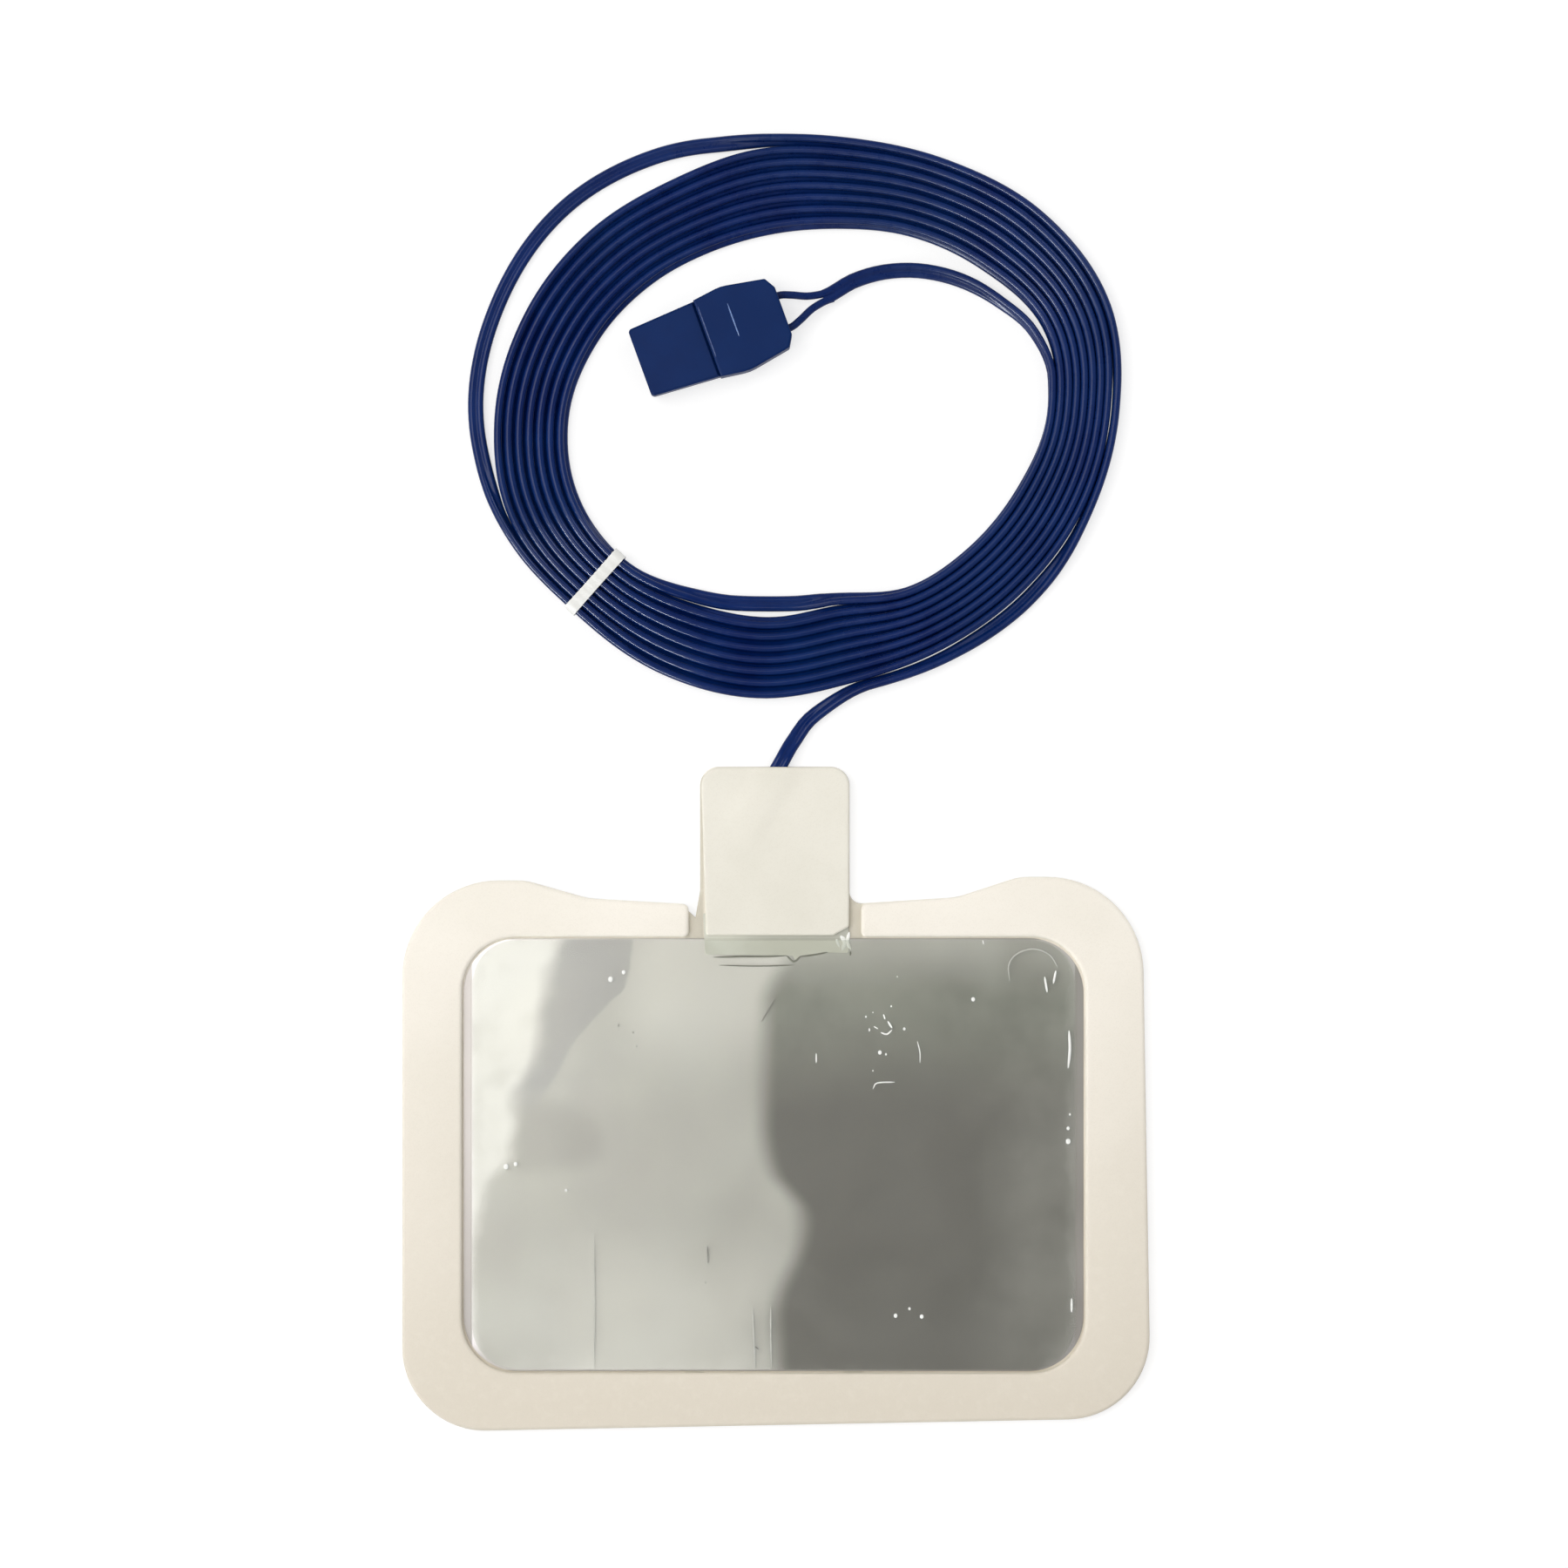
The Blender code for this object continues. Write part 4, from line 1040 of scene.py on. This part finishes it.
FRAME_LOOP = np.array(dense(frame_outline(), 0.0012))
base_top = wavy(BASE_TOP + 0.00003, 0.00002, 0.01, 6.1)
foam_base = layer("foam_base", FOAM, backing_outline(), 0.0012, base_top, flat(0), 0.0032, 0.00045)
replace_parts(foam_base, "backing_foam")
foam_border = layer(
    "foam_border", FOAM, frame_outline(), 0.0012, frame_top, flat(FRAME_BOTTOM - 0.00004),
    0.0024, 0.0008, 0.00015)
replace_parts(foam_border, "foam_frame")


def cord_bump(points, clearance, fall):
    """How far the strip stands up over the cord and its crimps."""
    local = np.array([ENTRY.inverted() @ Vector((x, y, 0)) for x, y in points])
    across = smooth((CORD_WIDTH / 2 + fall - np.abs(local[:, 0])) / fall)
    along = smooth((local[:, 1] + ENTRY_LENGTH + 0.0105) / 0.006)
    return clearance * across * along


def strip_top(points):
    return COVER_TOP + cord_bump(points, 0.00050, 0.0040) + 0.00005 * waves(points, 0.012, 9.1)


def strip_bottom(points):
    return GEL_BOTTOM - 0.0002 + cord_bump(points, 0.00153, 0.0012)


strip_corners = [
    (0.0167, PAD_TOP - 0.0001, TAB_RADIUS),
    (-0.0166, PAD_TOP - 0.0001, TAB_RADIUS),
    (-0.0154, WINDOW_TOP + 0.0003, 0.0008),
    (0.0131, WINDOW_TOP + 0.0003, 0.0010),
    (0.0166, WINDOW_TOP + 0.0022, 0.0009),
]
tab_strip = layer(
    "tab_strip", STRIP, rounded(strip_corners), 0.0008, strip_top, strip_bottom, 0.0011, 0.00055, 0.00012)
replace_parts(tab_strip, "tab_cover")

foil_edge = rectangle(WINDOW_CENTRE, WINDOW_WIDTH - 0.0008, WINDOW_LENGTH - 0.0008, WINDOW_RADIUS)
foil_waves = (0.00010, 0.016, 2.2)
foil = layer(
    "foil_sheet", FOIL, foil_edge, 0.0015, wavy(FOIL_TOP, *foil_waves), wavy(FOIL_BOTTOM, *foil_waves),
    0.0025, 0.00003, 0.00003)
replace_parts(foil, "foil_plate")


def gel_outline(overlap=0.0):
    width = WINDOW_WIDTH - 2 * GEL_SIDE_MARGIN + 2 * overlap
    length = WINDOW_LENGTH - 2 * GEL_END_MARGIN + 2 * overlap
    return rectangle(WINDOW_CENTRE, width, length, WINDOW_RADIUS - GEL_SIDE_MARGIN + overlap)


gel_top = wavy(GEL_TOP, 0.00004, 0.018, 5.0)
gel = layer("gel_layer", GEL, gel_outline(), 0.0015, gel_top, flat(GEL_BOTTOM), 0.003, 0.00035, 0.0001)
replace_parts(gel, "gel_pad")

liner_waves = (0.00005, 0.014, 8.0)
liner = layer(
    "liner_film", LINER, gel_outline(LINER_OVERLAP), 0.0015, wavy(LINER_TOP, *liner_waves),
    wavy(LINER_BOTTOM, *liner_waves), 0.003, 0.00004, 0.00004)
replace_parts(liner, "release_liner")

film_corners = [
    (0.0165, WINDOW_TOP + 0.0052, 0.0004),
    (-0.0161, WINDOW_TOP + 0.0052, 0.0004),
    (-0.0156, WINDOW_TOP - 0.0040, 0.0006),
    (0.0040, WINDOW_TOP - 0.0043, 0),
    (0.0046, WINDOW_TOP - 0.0054, 0),
    (0.0056, WINDOW_TOP - 0.0043, 0),
    (0.0118, WINDOW_TOP - 0.0036, 0.0010),
    (0.0165, WINDOW_TOP - 0.0037, 0.0006),
]
film = layer(
    "film_patch", FILM, rounded(film_corners), 0.001, flat(PATCH_TOP), flat(PATCH_BOTTOM),
    0.002, 0.00003, 0.00003)
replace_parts(film, "insulating_film")


def spot(px, py):
    """A place in the part's frame from a place in the photograph."""
    return (px - ORIGIN_PIXEL[0]) * PIXEL, (ORIGIN_PIXEL[1] - py) * PIXEL


def marks(name, strokes, height, surface):
    """Low ridges in a film: each stroke is a width in the photograph's pixels and the places it joins."""
    bm = bmesh.new()
    for width, *stops in strokes:
        places = np.array([(*spot(*stop), height) for stop in stops])
        if len(places) == 1:
            reach = (0, width * 0.00012, 0)
            places = np.vstack((places - reach, places, places + reach))
        if len(places) > 2:
            places = catmull(places, 4)
        places = even(places, 0.00025)
        along = np.gradient(places, axis=0)
        along /= np.linalg.norm(along, axis=1)[:, None]
        rings = []
        for k, (place, way) in enumerate(zip(places, along)):
            half = width * PIXEL / 2 * max(0.25, swell(k / (len(places) - 1), 0.2, 3))
            section = arch(half, 0.00006, 6)
            rings.append([
                Vector(place) + Vector((way[1] * across, -way[0] * across, rise)) for across, rise in section
            ])
        loft(rings, bm)
    return piece(name, bm, surface, 60)


# Low bumps of air bubbles under the film and strokes along ridges, painted white as highlights
bubbles_and_glints = marks("film_bubbles_and_glints", [
    (5, (701, 1124)), (4, (716, 1116)), (5, (581, 1339)), (4, (592, 1336)), (3, (650, 1366)),
    (4, (1117, 1147)), (3, (1038, 1181)), (4, (1010, 1208)), (2.5, (1017, 1210)), (3.5, (1226, 1295)),
    (5, (1226, 1310)), (2.5, (1228, 1279)), (4, (1028, 1510)), (3, (1044, 1502)), (4, (1058, 1511)),
    (1.6, (1002, 1250), (1007, 1243), (1027, 1242)), (1.6, (937, 1209), (937, 1220)),
    (2.4, (1199, 1121), (1202, 1139)), (2.4, (1212, 1114), (1209, 1129)),
    (3, (1227, 1183), (1228, 1204), (1226, 1226)), (2.5, (1230, 1490), (1230, 1506)), (2.2, (994, 1167)),
    (2, (998, 1180), (998, 1184)), (1.4, (1003, 1178), (1008, 1181)), (1.6, (1014, 1164), (1016, 1170)),
    (2.2, (1019, 1172), (1024, 1180)), (2, (1024, 1182), (1018, 1187), (1011, 1185)), (1.4, (1002, 1162)),
    (2, (1023, 1155)), (1.2, (1053, 1195), (1056, 1208), (1056, 1220)), (1.6, (1002, 1229)),
    (1.4, (1030, 1121)), (1.4, (1128, 1079), (1129, 1084)),
], LINER_MARKS, PAINTED_GLINT)
# Faint grey lines along creases and round a dimple, painted as shade
faint_shade_lines = marks("film_faint_shade_lines", [
    (1.8, (864, 1502), (866, 1540), (867, 1572)), (1.8, (885, 1500), (885, 1536), (886, 1570)),
    (1.4, (682, 1416), (683, 1500), (682, 1573)),
    (2, (1159, 1126), (1158, 1108), (1167, 1095), (1186, 1089), (1205, 1096), (1214, 1110)),
], LINER_MARKS, FAINT_SHADE_LINE)
# Creases and dents in the film, painted dark grey as shade
creases = marks("film_creases", [
    (1.8, (812, 1430), (813, 1450)), (2, (810, 1472)), (2, (710, 1177)), (2, (727, 1185)), (2, (731, 1201)),
    (1.6, (866, 1545), (871, 1549)), (1.6, (889, 1146), (881, 1160), (874, 1173)),
], LINER_MARKS, DARK_SHADE_LINE)
# A painted shadow line along the lower edge of the film at the tab
film_edge = marks("film_edge", [
    (2.2, (819, 1099), (850, 1098), (880, 1098), (903, 1097)), (2.2, (903, 1097), (911, 1104), (919, 1098)),
    (2, (919, 1098), (935, 1096), (950, 1093)), (1.4, (826, 1108), (870, 1109), (912, 1108)),
    (2.4, (976, 1092), (976, 1097)),
], PATCH_MARKS, DARK_SHADE_LINE)
# A painted highlight streak along the fold of the film by the tab
film_fold = marks("film_fold", [
    (5, (965, 1074), (970, 1082), (967, 1091)), (4, (975, 1070), (973, 1081), (977, 1090)),
    (3, (960, 1078), (964, 1087)),
], PATCH_MARKS, PAINTED_GLINT)


# Table, light and background

def floor_surface():
    """A pale matt table that the camera sees as white, with the object's shadow on it."""
    material = bpy.data.materials.new("table")
    made = Nodes(material)
    made.tree.nodes.clear()
    ray = made.add("ShaderNodeLightPath").outputs
    seen = made.math("MAXIMUM", ray["Is Camera Ray"], ray["Is Glossy Ray"])
    seen = made.math("MAXIMUM", seen, ray["Is Transmission Ray"])
    plain = made.add("ShaderNodeBsdfDiffuse", {"Color": (0.8, 0.8, 0.8, 1)}).outputs[0]
    shadowed = made.add("ShaderNodeBsdfDiffuse", {"Color": (0.42, 0.42, 0.42, 1)}).outputs[0]
    glow = made.add("ShaderNodeEmission", {"Strength": 0.66}).outputs[0]
    white = made.add("ShaderNodeAddShader", {0: shadowed, 1: glow}).outputs[0]
    made.add("ShaderNodeOutputMaterial", {"Surface": made.blend(seen, plain, white)})
    return material


bm = bmesh.new()
bmesh.ops.create_grid(bm, x_segments=1, y_segments=1, size=TABLE_HALF)
table_mesh = bpy.data.meshes.new("table")
bm.to_mesh(table_mesh)
bm.free()
table = bpy.data.objects.new("table", table_mesh)
table.location = (0, 0, -TABLE_DROP)
bpy.context.scene.collection.objects.link(table)
table_mesh.materials.append(floor_surface())


def lamp(name, place, target, size, power, colour):
    data = bpy.data.lights.new(name, "AREA")
    data.shape = "RECTANGLE"
    data.size, data.size_y = size
    data.energy = power
    data.color = colour
    obj = bpy.data.objects.new(name, data)
    obj.location = place
    obj.rotation_mode = "QUATERNION"
    obj.rotation_quaternion = (Vector(target) - Vector(place)).to_track_quat("-Z", "Y")
    bpy.context.scene.collection.objects.link(obj)
    return obj


lamp("key", (-0.62, 0.25, 1.45), (0, 0.05, 0), (0.9, 1.3), 12.8, (1, 0.985, 0.955))
lamp("side", (-0.9, -0.5, 0.45), (0, 0.06, 0), (0.25, 0.9), 2.6, (0.95, 0.97, 1))
glint = lamp("glint", (-0.72, -0.62, 0.72), (0, 0.15, 0), (0.9, 0.14), 34.0, (0.9, 0.95, 1))
glint.visible_diffuse = False
lamp("far", (0.8, 0.9, 0.6), (0, 0.06, 0), (0.2, 0.8), 2.4, (0.95, 0.97, 1))

world = bpy.data.worlds.new("studio")
bpy.context.scene.world = world
sky = Nodes(world)
sky.tree.nodes.clear()
around = sky.add("ShaderNodeTexCoord").outputs["Generated"]
height = sky.add("ShaderNodeSeparateXYZ", {"Vector": around}).outputs["Z"]
lit = sky.add("ShaderNodeBackground", {"Strength": sky.fade(height, 0.62, 0.98, 0.72, 0.34)}).outputs[0]
white = sky.add("ShaderNodeBackground", {"Strength": 1.0}).outputs[0]
is_seen = sky.add("ShaderNodeLightPath").outputs["Is Camera Ray"]
sky.add("ShaderNodeOutputWorld", {"Surface": sky.blend(is_seen, lit, white)})

bpy.context.scene.view_settings.view_transform = "Standard"
